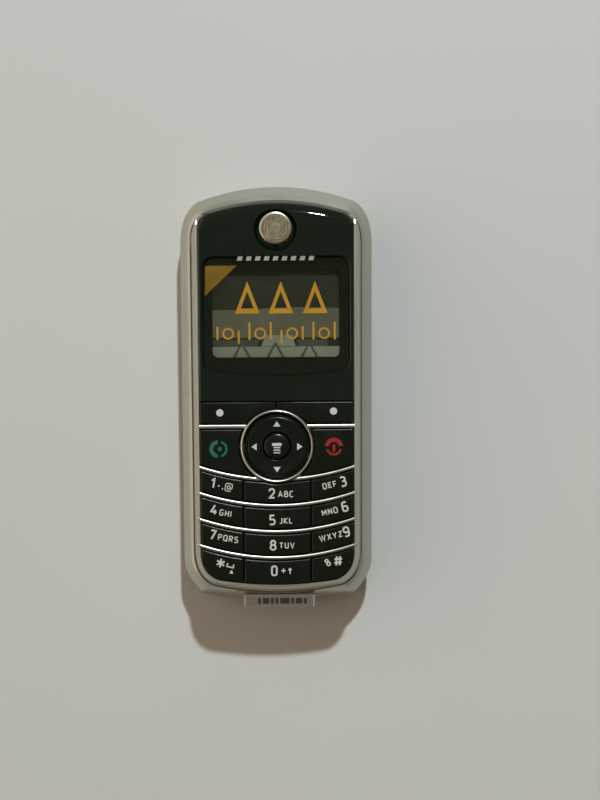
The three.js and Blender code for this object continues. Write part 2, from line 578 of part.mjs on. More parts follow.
const LABEL = { x: 0.25, halfWidth: 8.55, height: 5.2, thick: 0.25, y: -48.712, z: 10.1, lean: 52 };
const label = new THREE.BoxGeometry(LABEL.halfWidth * 2, LABEL.height, LABEL.thick);
label.rotateX(THREE.MathUtils.degToRad(LABEL.lean));
label.translate(LABEL.x, LABEL.y, LABEL.z);
add('end_label', solid(label), PAPER);

export default phone;
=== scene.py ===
import math
import bpy
import bmesh
from mathutils import Matrix, Vector
from mathutils.bvhtree import BVHTree


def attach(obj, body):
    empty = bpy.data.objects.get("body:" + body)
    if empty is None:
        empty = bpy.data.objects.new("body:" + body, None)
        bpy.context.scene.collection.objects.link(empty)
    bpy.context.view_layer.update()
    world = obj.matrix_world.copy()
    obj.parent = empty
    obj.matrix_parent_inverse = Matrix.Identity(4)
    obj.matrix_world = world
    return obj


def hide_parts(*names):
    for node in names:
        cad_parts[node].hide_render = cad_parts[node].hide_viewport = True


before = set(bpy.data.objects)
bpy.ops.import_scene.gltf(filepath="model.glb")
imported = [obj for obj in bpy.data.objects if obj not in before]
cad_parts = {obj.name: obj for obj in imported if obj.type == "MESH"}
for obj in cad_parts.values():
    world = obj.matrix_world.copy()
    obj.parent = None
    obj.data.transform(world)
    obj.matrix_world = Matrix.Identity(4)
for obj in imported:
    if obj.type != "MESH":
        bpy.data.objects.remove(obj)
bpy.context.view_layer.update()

# A small candy-bar mobile telephone on its back, made in millimetres and scaled to metres at the end.
MM = 0.001

# ---- Camera: straight down, a little off the phone's middle ----

CAMERA_HEIGHT = 0.4584
CAMERA_PLACE = (0.0055, -0.0008)
CAMERA_ROLL = -0.4
VIEW_LENGTH = 0.1922
SENSOR = 36.0
WIDEST_LEVEL = 0.0084

camera_data = bpy.data.cameras.new("camera")
camera_data.sensor_width = SENSOR
camera_data.lens = SENSOR * (CAMERA_HEIGHT - WIDEST_LEVEL) / VIEW_LENGTH
camera = bpy.data.objects.new("camera", camera_data)
camera.location = (*CAMERA_PLACE, CAMERA_HEIGHT)
camera.rotation_euler = (0, 0, math.radians(CAMERA_ROLL))
bpy.context.scene.collection.objects.link(camera)
bpy.context.scene.camera = camera
bpy.context.scene.view_settings.view_transform = "Standard"

# ---- The design's dimensions, in millimetres ----

OUTER = dict(top=50.4, top_corner=(18.6, 47.0), top_control=(22.9, 44.6), side_top=(23.0, 37.0),
             side_foot=(22.45, -38.5), foot_control=(22.45, -42.9), foot=(18.2, -47.8), bottom=-49.2)
PARTING = dict(top=46.8, top_corner=(16.0, 44.4), top_control=(20.4, 43.0), side_top=(20.5, 37.3),
               side_foot=(19.97, -36.5), foot_control=(19.9, -42.6), foot=(15.5, -44.8), bottom=-46.6)
BEZEL = dict(top=46.5, top_corner=(15.8, 44.1), top_control=(18.7, 43.4), side_top=(18.8, 41.0),
             side_foot=(18.4, -36.4), foot_control=(18.3, -41.9), foot=(14.0, -43.4), bottom=-44.5)
FIELD = dict(top=46.6, top_corner=(15.9, 44.2), top_control=(18.3, 43.5), side_top=(18.5, 41.2),
             side_foot=(18.1, -36.5), foot_control=(18.0, -41.6), foot=(13.8, -43.1), bottom=-44.2)
SEAM_Y = -1.0
BAR_Y, BAR_THICK = -6.96, 0.95
NAV_Y, RING_OUTER, RING_INNER = -11.6, 8.77, 7.87
RIB_RADIUS, RIB_THICK, RIB_BACK, RIB_REACH, FIRST_RIB, ROW_PITCH = 57.0, 0.9, 16.2, 18.6, -19.5, 6.13
COLUMN_EDGE, KEY_GAP = 7.9, 0.22
KEY_BACK, KEY_FRONT, BEZEL_FRONT = 16.4, 18.7, 18.2
POCKET, POCKET_SAG = (-17.1, 17.1, 5.0, 32.7), 1.2
WINDOW = (-15.0, 15.0, 9.35, 30.25)
EMBLEM_Y, EMBLEM_RADIUS, WELL_Y = 39.7, 3.86, 39.3
BAY = (-17.6, 17.6, -41.2, 12.0)
FAR_X, FAR_Y, HIGH = 30, 60, 30
INK = 0.012
COVER_TOP, COVER_SPLIT, COVER_LEDGE = 13.3, 13.6, 3.3
SCREWS = (("screw_upper_left", -16.8, 38.0, 5.0), ("screw_upper_right", 16.8, 38.0, 5.0),
          ("screw_lower_left", -16.4, -36.4, 7.0), ("screw_lower_right", 16.4, -36.4, 7.0))


# ---- Outlines and solids ----

def quad_curve(start, control, end, steps):
    points = []
    for i in range(steps):
        t = i / steps
        points.append(tuple((1 - t) ** 2 * a + 2 * t * (1 - t) * b + t * t * c
                            for a, b, c in zip(start, control, end)))
    return points


def outline(o, steps=14):
    """The closed outline through a few driving points: the right half in curves, and its mirror image."""
    right = quad_curve((0, o["bottom"]), (o["foot"][0] / 2, o["bottom"]), o["foot"], steps)
    right += quad_curve(o["foot"], o["foot_control"], o["side_foot"], steps)
    middle = tuple((a + b) / 2 for a, b in zip(o["side_foot"], o["side_top"]))
    right += quad_curve(o["side_foot"], middle, o["side_top"], steps)
    right += quad_curve(o["side_top"], o["top_control"], o["top_corner"], steps)
    right += quad_curve(o["top_corner"], (o["top_corner"][0] / 2, o["top"]), (0, o["top"]), steps)
    right.append((0, o["top"]))
    left = [(-x, y) for x, y in reversed(right[1:-1])]
    return right + left


def inset(points, margin):
    """Draws an outline in by the margin at its widest and longest."""
    half_x = max(x for x, y in points)
    half_y = max(y for x, y in points)
    return [(x * (1 - margin / half_x), y * (1 - margin / half_y)) for x, y in points]


def mix(first, second, share):
    """The outline that lies between two, point by point."""
    return [(a + (c - a) * share, b + (d - b) * share) for (a, b), (c, d) in zip(first, second)]


def rounded(x0, x1, y0, y1, radius, steps=8, sag=0.0):
    """A rectangle with round corners, whose lower edge may bow down by sag."""
    points = []
    corners = ((x1, y1, 0), (x0, y1, 1), (x0, y0, 2), (x1, y0, 3))
    for cx, cy, quarter in corners:
        ox = cx - math.copysign(radius, cx - (x0 + x1) / 2)
        oy = cy - math.copysign(radius, cy - (y0 + y1) / 2)
        for i in range(steps + 1):
            angle = (quarter + i / steps) * math.pi / 2
            points.append((ox + radius * math.cos(angle), oy + radius * math.sin(angle)))
        if quarter == 2 and sag:
            half = (x1 - x0) / 2 - radius
            for i in range(1, 12):
                x = -half + 2 * half * i / 12
                points.append((x + (x0 + x1) / 2, y0 - sag * (1 - (x / half) ** 2)))
    return points


def spline(rows, steps=4):
    """Catmull-Rom rows of numbers, for a smooth profile through a few levels."""
    out = []
    for i in range(len(rows) - 1):
        a = rows[max(i - 1, 0)]
        b, c = rows[i], rows[i + 1]
        d = rows[min(i + 2, len(rows) - 1)]
        for k in range(steps):
            t = k / steps
            out.append(tuple(0.5 * (2 * q + (r - p) * t + (2 * p - 5 * q + 4 * r - s) * t * t
                                    + (3 * q - p - 3 * r + s) * t ** 3) for p, q, r, s in zip(a, b, c, d)))
    out.append(tuple(rows[-1]))
    return out


def add_object(name, data):
    made = bpy.data.objects.new(name, data)
    bpy.context.scene.collection.objects.link(made)
    return made


def mesh_object(name, vertices, faces):
    mesh = bpy.data.meshes.new(name)
    mesh.from_pydata(vertices, [], faces)
    made = add_object(name, mesh)
    work = bmesh.new()
    work.from_mesh(mesh)
    bmesh.ops.recalc_face_normals(work, faces=work.faces)
    work.to_mesh(mesh)
    work.free()
    return made


def loft(name, levels):
    """A closed solid through rings of equal count: each level is (z, points)."""
    count = len(levels[0][1])
    vertices = [(x, y, z) for z, points in levels for x, y in points]
    faces = [tuple(reversed(range(count)))]
    for ring in range(len(levels) - 1):
        low = ring * count
        for i in range(count):
            j = (i + 1) % count
            faces.append((low + i, low + j, low + count + j, low + count + i))
    last = (len(levels) - 1) * count
    faces.append(tuple(range(last, last + count)))
    return mesh_object(name, vertices, faces)


def prism(name, points, z0, z1):
    return loft(name, [(z0, points), (z1, points)])


def block(name, x0, x1, y0, y1, z0, z1):
    return prism(name, [(x0, y0), (x1, y0), (x1, y1), (x0, y1)], z0, z1)


def circle(x, y, radius, steps=48):
    return [(x + radius * math.cos(2 * math.pi * i / steps), y + radius * math.sin(2 * math.pi * i / steps))
            for i in range(steps)]


def turned(points, degrees, x, y):
    """Points turned about the origin and then moved to (x, y)."""
    cosine, sine = math.cos(math.radians(degrees)), math.sin(math.radians(degrees))
    return [(x + a * cosine - b * sine, y + a * sine + b * cosine) for a, b in points]


def lathe(name, profile, x, y, steps=96):
    """Turns a profile of (radius, z), which starts and ends on the axis, or closes on itself."""
    closed = profile[0] == profile[-1]
    rows = profile[:-1] if closed else profile
    vertices, rings = [], []
    for radius, z in rows:
        if radius == 0:
            rings.append([len(vertices)])
            vertices.append((x, y, z))
        else:
            rings.append(list(range(len(vertices), len(vertices) + steps)))
            vertices += [(px, py, z) for px, py in circle(x, y, radius, steps)]
    pairs = list(zip(rings, rings[1:])) + ([(rings[-1], rings[0])] if closed else [])
    faces = []
    for low, high in pairs:
        for i in range(steps):
            j = (i + 1) % steps
            corners = [low[i % len(low)], low[j % len(low)], high[j % len(high)], high[i % len(high)]]
            unique = list(dict.fromkeys(corners))
            if len(unique) > 2:
                faces.append(tuple(unique))
    return mesh_object(name, vertices, faces)


def turn_to_x(piece, x0, y, z):
    """Lays a piece that was turned about Z at the origin along +X instead, starting at x0."""
    piece.data.transform(Matrix.Translation((x0, y, z)) @ Matrix.Rotation(math.pi / 2, 4, "Y"))
    return piece


def bake(piece):
    """Applies the piece's modifiers to its mesh."""
    graph = bpy.context.evaluated_depsgraph_get()
    result = bpy.data.meshes.new_from_object(piece.evaluated_get(graph))
    old = piece.data
    piece.modifiers.clear()
    piece.data = result
    bpy.data.meshes.remove(old)
    return piece


def combine(piece, operation, *tools):
    for tool in tools:
        modifier = piece.modifiers.new("combine", "BOOLEAN")
        modifier.operation = operation
        modifier.solver = "MANIFOLD"
        modifier.object = tool
        bake(piece)
        bpy.data.objects.remove(tool)
    return piece


def cut(piece, *tools):
    return combine(piece, "DIFFERENCE", *tools)


def soften(piece, width, segments=2, angle=40):
    """Rounds the piece's sharp edges."""
    modifier = piece.modifiers.new("soften", "BEVEL")
    modifier.width = width
    modifier.segments = segments
    modifier.limit_method = "ANGLE"
    modifier.angle_limit = math.radians(angle)
    modifier.use_clamp_overlap = True
    return bake(piece)


def merge(name, pieces):
    """One object that holds several meshes."""
    work = bmesh.new()
    for piece in pieces:
        work.from_mesh(piece.data)
    mesh = bpy.data.meshes.new(name)
    work.to_mesh(mesh)
    work.free()
    for piece in pieces:
        bpy.data.objects.remove(piece)
    return add_object(name, mesh)


def add_piece(piece, paint, body, nodes=(), sharp=35):
    """Scales a piece to metres, shades it, gives it its paint and hangs it on its body."""
    piece.data.shade_smooth()
    piece.data.set_sharp_from_angle(angle=math.radians(sharp))
    modifier = piece.modifiers.new("weighted", "WEIGHTED_NORMAL")
    modifier.keep_sharp = True
    modifier.weight = 80
    bake(piece)
    piece.data.transform(Matrix.Scale(MM, 4))
    piece.data.materials.clear()
    piece.data.materials.append(PAINTS[paint])
    for face in piece.data.polygons:
        face.material_index = 0
    if nodes:
        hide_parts(*nodes)
    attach(piece, body)
    return piece


# ---- Materials ----

def add_node(nodes, kind, **values):
    """A node with its input sockets set by name, where _ stands for a space."""
    node = nodes.new("ShaderNode" + kind)
    for socket, value in values.items():
        node.inputs[socket.replace("_", " ")].default_value = value
    return node


def noise_node(nodes, links, place, scale, detail, stretch=(1, 1, 1)):
    mapping = add_node(nodes, "Mapping", Scale=stretch)
    links.new(place.outputs["Object"], mapping.inputs["Vector"])
    noise = add_node(nodes, "TexNoise", Scale=scale, Detail=detail)
    links.new(mapping.outputs["Vector"], noise.inputs["Vector"])
    return noise


def tone_node(nodes, links, factor, second):
    """Mixes towards the second colour by the factor."""
    node = nodes.new("ShaderNodeMix")
    node.data_type = "RGBA"
    node.inputs["B"].default_value = (*second, 1)
    links.new(factor, node.inputs["Factor"])
    return node


def surface(name, dark, light, roughness, metallic, mottle, grain, bump, bump_distance=0.00005,
            stretch=(1, 1, 1), wear=None, **sockets):
    """A two-tone surface: large mottle in colour and roughness, fine grain in bump, and lighter worn edges,
    which also serve as a painted highlight along the edges.
    """
    made = bpy.data.materials.new(name)
    made.use_nodes = True
    nodes, links = made.node_tree.nodes, made.node_tree.links
    shader = nodes["Principled BSDF"]
    place = nodes.new("ShaderNodeTexCoord")
    broad = noise_node(nodes, links, place, mottle, 4.0)
    fine = noise_node(nodes, links, place, grain, 2.0, stretch)
    tone = tone_node(nodes, links, broad.outputs["Fac"], light)
    tone.inputs["A"].default_value = (*dark, 1)
    # Lighter convex edges: partly paint worn thin, partly a painted highlight where the edges would catch the
    # light.
    if wear:
        geometry = nodes.new("ShaderNodeNewGeometry")
        edge = add_node(nodes, "MapRange", From_Min=0.53, From_Max=0.62, To_Max=0.5)
        links.new(geometry.outputs["Pointiness"], edge.inputs["Value"])
        worn_and_lit = tone_node(nodes, links, edge.outputs["Result"], wear)
        links.new(tone.outputs["Result"], worn_and_lit.inputs["A"])
        tone = worn_and_lit
    links.new(tone.outputs["Result"], shader.inputs["Base Color"])
    smooth, rough = roughness
    spread = add_node(nodes, "MapRange", From_Min=0.3, From_Max=0.7, To_Min=smooth, To_Max=rough)
    links.new(broad.outputs["Fac"], spread.inputs["Value"])
    links.new(spread.outputs["Result"], shader.inputs["Roughness"])
    raised = add_node(nodes, "Bump", Strength=bump, Distance=bump_distance)
    links.new(fine.outputs["Fac"], raised.inputs["Height"])
    links.new(raised.outputs["Normal"], shader.inputs["Normal"])
    shader.inputs["Metallic"].default_value = metallic
    for socket, value in sockets.items():
        shader.inputs[socket.replace("_", " ")].default_value = value
    return made


SILVER = ((0.44, 0.45, 0.385), (0.51, 0.515, 0.45), (0.31, 0.39), 0.95, 90, 5200, 0.12)

# Dark and light tone, roughness from and to, metal share, scales of mottle and grain, bump, other settings.
FINISHES = {
    # The silver paint's lighter edges are partly wear and partly a painted edge highlight.
    "silver_paint": (*SILVER, dict(wear=(0.74, 0.74, 0.68))),
    "silver_paint_broad": (*SILVER, {}),
    "lens_black": ((0.0015, 0.006, 0.003), (0.003, 0.009, 0.005), (0.02, 0.05), 0, 140, 900, 0.01,
        dict(Specular_IOR_Level=0.42)),
    "key_black": ((0.001, 0.004, 0.001), (0.003, 0.007, 0.003), (0.22, 0.32), 0, 300, 4200, 0.06,
        dict(Specular_IOR_Level=0.3)),
    "legend_white": ((0.48, 0.49, 0.45), (0.54, 0.55, 0.51), (0.4, 0.5), 0, 60, 6000, 0.05, {}),
    "name_grey": ((0.26, 0.265, 0.245), (0.40, 0.405, 0.38), (0.35, 0.45), 0.2, 900, 6000, 0.05, {}),
    "legend_green": ((0.002, 0.10, 0.052), (0.004, 0.14, 0.070), (0.4, 0.5), 0, 60, 6000, 0.05, {}),
    "legend_red": ((0.24, 0.004, 0.005), (0.30, 0.008, 0.008), (0.4, 0.5), 0, 60, 6000, 0.05, {}),
    "window_clear": ((0.004, 0.008, 0.003), (0.010, 0.014, 0.007), (0.03, 0.06), 0, 120, 600, 0.01,
        dict(Alpha=0.12)),
    "film_clear": ((0.010, 0.014, 0.007), (0.022, 0.026, 0.016), (0.06, 0.16), 0, 90, 260, 0.10,
        dict(bump_distance=0.0002, Alpha=0.10)),
    "gold_ink": ((0.14, 0.082, 0.003), (0.21, 0.125, 0.006), (0.30, 0.42), 0.2, 260, 3000, 0.08, {}),
    "gold_ink_bright": ((0.34, 0.175, 0.010), (0.52, 0.28, 0.022), (0.30, 0.42), 0.2, 330, 3000, 0.08, {}),
    "emblem_steel": ((0.40, 0.38, 0.27), (0.66, 0.63, 0.50), (0.26, 0.36), 1, 700, 1500, 0.15,
        dict(stretch=(1, 12, 1))),
    "cover_graphite": ((0.055, 0.058, 0.062), (0.075, 0.078, 0.082), (0.5, 0.62), 0, 60, 2600, 0.55,
        dict(bump_distance=0.0001)),
    "bright_steel": ((0.50, 0.50, 0.48), (0.62, 0.62, 0.60), (0.22, 0.34), 1, 160, 900, 0.12,
        dict(stretch=(1, 22, 1))),
    "screw_steel": ((0.22, 0.22, 0.22), (0.32, 0.32, 0.31), (0.3, 0.42), 1, 400, 2400, 0.12, {}),
    "mat_rubber": ((0.018, 0.019, 0.018), (0.028, 0.029, 0.028), (0.6, 0.75), 0, 200, 2500, 0.3, {}),
    "frame_black": ((0.018, 0.018, 0.019), (0.028, 0.028, 0.030), (0.45, 0.6), 0, 120, 2200, 0.3, {}),
    "board_green": ((0.008, 0.085, 0.035), (0.018, 0.15, 0.065), (0.3, 0.45), 0, 420, 1500, 0.2, {}),
    "battery_case": ((0.022, 0.023, 0.026), (0.032, 0.033, 0.036), (0.35, 0.45), 0, 100, 2000, 0.15, {}),
    "label_paper": ((0.33, 0.32, 0.285), (0.40, 0.39, 0.35), (0.45, 0.6), 0, 140, 3200, 0.35,
        dict(stretch=(1, 3, 1))),
    "label_ink": ((0.030, 0.024, 0.018), (0.055, 0.045, 0.034), (0.5, 0.6), 0, 700, 3000, 0.1, {}),
    "sim_plastic": ((0.68, 0.67, 0.63), (0.74, 0.73, 0.70), (0.35, 0.45), 0, 100, 2600, 0.1, {}),
    "antenna_gold": ((0.70, 0.48, 0.20), (0.82, 0.60, 0.28), (0.2, 0.32), 1, 300, 1600, 0.1, {}),
    # The four display tones below are painted light and shade: a dark base in painted shade, a pale band and
    # a light strip of painted light, and painted shadows.
    "display_painted_shade": ((0.022, 0.022, 0.010), (0.042, 0.041, 0.020), (0.35, 0.5), 0, 130, 1200, 0.05, {}),
    "display_painted_light_band": ((0.15, 0.155, 0.09), (0.23, 0.235, 0.15), (0.4, 0.55), 0, 170, 1200, 0.08, {}),
    "display_painted_light_strip": ((0.29, 0.33, 0.23), (0.42, 0.47, 0.34), (0.4, 0.55), 0, 210, 1200, 0.08, {}),
    "display_patches_and_painted_shadows": ((0.075, 0.085, 0.052), (0.115, 0.125, 0.080), (0.4, 0.55), 0, 210, 1200, 0.08, {}),
    "table_paint": ((0.50, 0.502, 0.492), (0.535, 0.535, 0.525), (0.55, 0.7), 0, 9, 900, 0.1, {}),
}
PAINTS = {name: surface(name, *row[:-1], **row[-1]) for name, row in FINISHES.items()}


# ---- Case halves ----

outer = outline(OUTER)
parting = outline(PARTING)
bezel = outline(BEZEL)
field = outline(FIELD)


def rear_pillow(name):
    """The rear half of the case as a solid, from the flat back up to the seam, with a steeper keypad end."""
    rows = spline([(0.0, 5.6, 0.0, 0.0), (0.4, 4.0, 0.0, 0.0), (1.4, 2.2, 0.0, -0.9), (3.2, 0.9, 0.0, -0.9),
                   (5.5, 0.25, 0.0, 0.1), (8.4, 0.0, 0.0, 1.1), (10.2, 0.0, 0.30, 0.9),
                   (11.6, 0.0, 0.62, 0.6), (12.3, 0.0, 0.86, 0.25), (12.6, 0.0, 0.97, 0.03)])
    start = -40.0
    reach = start - OUTER["bottom"]
    levels = []
    for z, margin, share, pull in rows:
        ring = mix(inset(outer, margin), parting, share)
        levels.append((max(z, 0.0), [(x, y + pull * max(0.0, (start - y) / reach)) for x, y in ring]))
    return loft(name, levels)


def rear_housing():
    shell = rear_pillow("rear_shell")
    x0, x1, y0, y1 = BAY
    wall, tub_front, bay_front = 1.5, 8.6, 6.85
    cavity = loft("cavity", [(4.6, inset(outer, 3.2)), (7.0, inset(outer, 1.9)), (9.4, inset(outer, 1.9)),
                             (11.3, inset(parting, 1.2)), (11.31, inset(parting, 0.02)),
                             (14, inset(parting, 0.02))])
    cut(shell, cavity)
    combine(shell, "UNION", block("tub", x0 - wall, x1 + wall, y0 - wall, y1 + wall, COVER_LEDGE, tub_front))
    for _, x, y, _ in SCREWS:
        foot = 1.0 if y > COVER_SPLIT else bay_front
        combine(shell, "UNION", prism("boss", circle(x, y, 2.4), foot, tub_front))
    cut(shell, prism("bay", rounded(x0, x1, y0, y1, 1.2), -1, bay_front),
        block("cover_room", -FAR_X, FAR_X, -FAR_Y, COVER_SPLIT, -1, COVER_LEDGE),
        block("top_room", -16, 16, 19.6, 42, 1.5, 5),
        prism("sim_recess", rounded(-7.8, 7.8, -31.5, 8.3, 0.8), 5.85, 7.95),
        prism("latch_slot", rounded(-4.3, 4.3, 14.9, 20.1, 1.0), -1, 2.2),
        block("latch_step", -3, 3, COVER_SPLIT - 1, 15.2, -1, 2.2))
    for _, x, y, back in SCREWS:
        cut(shell, prism("head_hole", circle(x, y, 1.7), -1, back + 1.1),
            prism("shank_hole", circle(x, y, 1.05), back + 0.6, 9.6))
    for i in range(-2, 3):
        middle = 2.4 * i
        cut(shell, prism("sound_slot", rounded(middle - 0.6, middle + 0.6, 27, 32, 0.58), -1, 2))
    cut(shell, turn_to_x(prism("jack_hole", circle(0, 0, 2.05), 0, 8), -25, 22, 6.7),
        turn_to_x(prism("charge_hole", rounded(-1.55, 1.55, -4.5, 4.5, 0.7), 0, 8), 17, 26, 6.9),
        prism("microphone_hole", rounded(-9.9, -7.5, -50, -44.5, 0.4), 12.0, 13.6))
    soften(shell, 0.14, 2, 48)
    add_piece(shell, "silver_paint_broad", "handset", ["rear_housing"])


def rib_lift(x):
    return RIB_RADIUS - math.sqrt(RIB_RADIUS ** 2 - x * x)


def rail(name, path, thick, back, front):
    """A bar with a rounded front, along a path of (x, y, across_x, across_y)."""
    half = thick / 2
    crown = 0.34
    section = [(-half, back), (-half, front - crown)]
    section += [(-half * math.cos(a), front - crown + crown * math.sin(a))
                for a in (math.pi * k / 10 for k in range(1, 10))]
    section += [(half, front - crown), (half, back)]
    vertices = [(x + s * ax, y + s * ay, z) for x, y, ax, ay in path for s, z in section]
    count = len(section)
    faces = [tuple(range(count)), tuple(reversed(range(len(vertices) - count, len(vertices))))]
    for i in range(len(path) - 1):
        for k in range(count):
            j = (k + 1) % count
            faces.append((i * count + k, i * count + j, (i + 1) * count + j, (i + 1) * count + k))
    return mesh_object(name, vertices, faces)


def rib(index):
    middle = FIRST_RIB - index * ROW_PITCH
    path = []
    for i in range(61):
        x = -RIB_REACH + 2 * RIB_REACH * i / 60
        lean = math.asin(x / RIB_RADIUS)
        path.append((x, middle + rib_lift(x), -math.sin(lean), math.cos(lean)))
    return rail("rib", path, RIB_THICK, RIB_BACK, BEZEL_FRONT)


def front_housing():
    rows = spline([(12.8, 0.0), (13.6, 0.04), (15.0, 0.17), (16.4, 0.40), (17.4, 0.66), (18.0, 0.88),
                   (BEZEL_FRONT, 1.0)])
    foot = inset(parting, 0.36)
    levels = [(11.5, foot), (12.79, foot)] + [(z, mix(foot, bezel, share)) for z, share in rows]
    shell = loft("front_shell", levels)
    cut(shell, loft("front_cavity", [(11, inset(parting, 1.5)), (15.6, inset(field, 0.3))]))
    side = block("lens_side", -FAR_X, FAR_X, SEAM_Y + 0.1, FAR_Y, 0, HIGH)
    lens_room = combine(prism("lens_room", field, KEY_BACK, 20), "INTERSECT", side)
    lip_room = block("lip_room", -FAR_X, FAR_X, 43, FAR_Y, 13.1, HIGH)
    key_side = block("key_side", -FAR_X, FAR_X, -FAR_Y, SEAM_Y + 0.2, 0, HIGH)
    key_room = combine(prism("key_room", field, 14.6, 20), "INTERSECT", key_side)
    roll = [(-18.5, 39.4), (-18.2, 40.6), (-17.7, 41.6), (-16.9, 42.5), (-15.6, 43.2), (-20, 43.2),
            (-20, 39.4)]
    rail_tips = turn_to_x(prism("rail_tips", roll, 0, 60), -30, 0, 0)
    cut(shell, lens_room, lip_room, key_room, rail_tips,
        block("lcd_room", -15.8, 15.8, 8.0, 31.6, 14.6, 17.4),
        prism("ear_room", circle(0, EMBLEM_Y - 4, 3.2), 14.6, 17.4),
        prism("microphone_hole", rounded(-9.9, -7.5, -50, -44, 0.4), 11.0, 13.3))
    soften(shell, 0.16, 3, 40)
    bar_path = [(-RIB_REACH + 2 * RIB_REACH * i / 8, BAR_Y, 0, 1) for i in range(9)]
    bars = [rib(i) for i in range(4)] + [rail("bar", bar_path, BAR_THICK, RIB_BACK, BEZEL_FRONT)]
    for piece in bars:
        cut(piece, prism("ring_hole", circle(0, NAV_Y, 8.3, 96), 10, 25))
    ring = lathe("ring", [
        (RING_INNER, RIB_BACK), (RING_OUTER, RIB_BACK), (RING_OUTER, 18.0), (8.70, 18.35), (8.56, 18.6),
        (8.40, 18.75), (8.26, 18.8), (8.12, 18.75), (7.98, 18.55), (7.90, 18.25), (RING_INNER, 17.8),
        (RING_INNER, RIB_BACK)], 0, NAV_Y, 128)
    posts = []
    for _, x, y, _ in SCREWS:
        posts.append(cut(prism("boss", circle(x, y, 1.9, 32), 13.1, 15.7),
                         prism("bore", circle(x, y, 0.9, 24), 12, 15.1)))
    housing = merge("front_housing_fine", [shell, ring] + bars + posts)
    add_piece(housing, "silver_paint", "handset", ["front_housing"], sharp=32)


def battery_cover():
    cover = rear_pillow("battery_cover_fine")
    combine(cover, "INTERSECT", block("cover_side", -FAR_X, FAR_X, -FAR_Y, COVER_TOP, -1, 3.0))
    cut(cover, loft("cover_pocket", [(1.2, inset(outer, 3.7)), (4.0, inset(outer, 2.2))]),
        block("open_end", -18, 18, 0, COVER_TOP + 1, 1.2, 4.0))
    for i in range(5):
        y = 9.6 - 1.3 * i
        half = 7.0 - 0.9 * i
        cut(cover, prism("grip", rounded(-half, half, y - 0.3, y + 0.3, 0.28, 4), -1, 0.28))
    soften(cover, 0.12, 2, 45)
    add_piece(cover, "cover_graphite", "battery_cover", ["battery_cover"])


# ---- Lens plate, window, film and emblem ----

def lens_plate():
    plan = inset(field, 0.15)
    start, reach = 30.0, FIELD["top"] - 30.0

    def rolled(distance, margin):
        pulled = [(x, y - distance * max(0.0, (y - start) / reach)) for x, y in plan]
        return inset(pulled, margin)
    rows = spline([(13.4, 0.0, 0.0), (14.8, 0.06, 0.0), (15.8, 0.2, 0.0), (17.2, 0.9, 0.0),
                   (18.1, 2.2, 0.02), (18.45, 3.2, 0.10), (18.6, 4.2, 0.30)])
    plate = loft("front_lens_plate_fine", [(z, rolled(pull, margin)) for z, pull, margin in rows])
    pocket_rows = [(17.0, 0.0), (17.9, 0.03), (18.3, 0.16), (18.5, 0.34), (18.62, 0.6), (19.2, 1.2)]
    x0, x1, y0, y1 = POCKET
    foot = y0 + POCKET_SAG
    pocket = loft("pocket", [(z, rounded(x0 - g, x1 + g, foot - g, y1 + g, 2.4 + g, 10, 1.1))
                             for z, g in pocket_rows])
    well = lathe("well", [(0, 17.4), (4.15, 17.4), (4.45, 17.52), (4.72, 17.85), (4.9, 18.25), (5.1, 18.55),
                          (5.4, 18.75), (5.4, 22), (0, 22)], 0, WELL_Y)
    cut(plate, block("keypad_side", -FAR_X, FAR_X, -FAR_Y, SEAM_Y + 0.1, 0, HIGH),
        block("underside", -FAR_X, FAR_X, -FAR_Y, 43.4, 0, 16.6),
        prism("lip_hollow", inset(plan, 1.5), 0, 15.4),
        pocket, prism("window", rounded(*WINDOW, 1.4), 0, HIGH), well)
    ports = ((0, EMBLEM_Y - 3.4, 1.0), (-2.4, EMBLEM_Y - 2.9, 0.5), (2.4, EMBLEM_Y - 2.9, 0.5))
    for x, y, radius in ports:
        cut(plate, prism("port", circle(x, y, radius, 32), 0, HIGH))
    soften(plate, 0.07, 2, 50)
    add_piece(plate, "lens_black", "handset", ["front_lens_plate"], sharp=30)


def window_and_film():
    x0, x1, y0, y1 = POCKET
    pane_plan = rounded(x0 + 0.1, x1 - 0.1, y0 + POCKET_SAG, y1 - 0.1, 2.3, 8, 1.0)
    pane = prism("display_window_fine", pane_plan, 17.05, 17.7)
    soften(pane, 0.08, 2)
    add_piece(pane, "window_clear", "handset", ["display_window"])
    film_plan = rounded(x0 + 0.3, x1 - 0.3, y0 + 1.3, y1 - 0.3, 1.9, 8, 0.9)
    film = prism("display_film_fine", film_plan, 17.75, 17.87)
    add_piece(film, "film_clear", "handset", ["display_film"])


def stroke(points, width, z0, z1, name):
    """A closed band of even width along a closed polygon's inside."""
    middle = Vector((sum(p[0] for p in points) / len(points), sum(p[1] for p in points) / len(points)))
    reach = min(abs((Vector(a) - middle).cross(Vector(b) - Vector(a)) / (Vector(b) - Vector(a)).length)
                for a, b in zip(points, points[1:] + points[:1]))
    scale = 1 - width / reach
    inner = [tuple(middle + (Vector(p) - middle) * scale) for p in points]
    return cut(prism(name, points, z0, z1), prism("inner", inner, z0 - 1, z1 + 1))


def film_print():
    """A gold corner, three triangles and a row of bars and loops, which throw no shadow on the display."""
    base, top = 17.875, 17.90
    corner = prism("film_corner", [(-16.7, 23.8), (-9.2, 30.9), (-16.2, 30.9), (-16.6, 30.6)], base, top)
    add_piece(corner, "gold_ink", "handset").visible_shadow = False
    pieces = [stroke([(x - 2.9, 19.6), (x + 2.9, 19.6), (x, 27.2)], 0.85, base, top, "triangle")
              for x in (-6.75, 1.15, 9.2)]
    half = 0.26
    for i in range(12):
        x = -13.8 + 27.6 * i / 11
        if i % 3 == 1:
            pieces.append(stroke(circle(x, 14.9, 1.4, 28), 0.46, base, top, "loop"))
        else:
            foot, height = 13.4 - 0.9 * (i % 4 == 2), 3.2 + 1.0 * (i % 2)
            plan = rounded(x - half, x + half, foot, foot + height, 0.2, 3)
            pieces.append(prism("bar", plan, base, top))
    whole = merge("film_print", pieces)
    add_piece(whole, "gold_ink_bright", "handset").visible_shadow = False


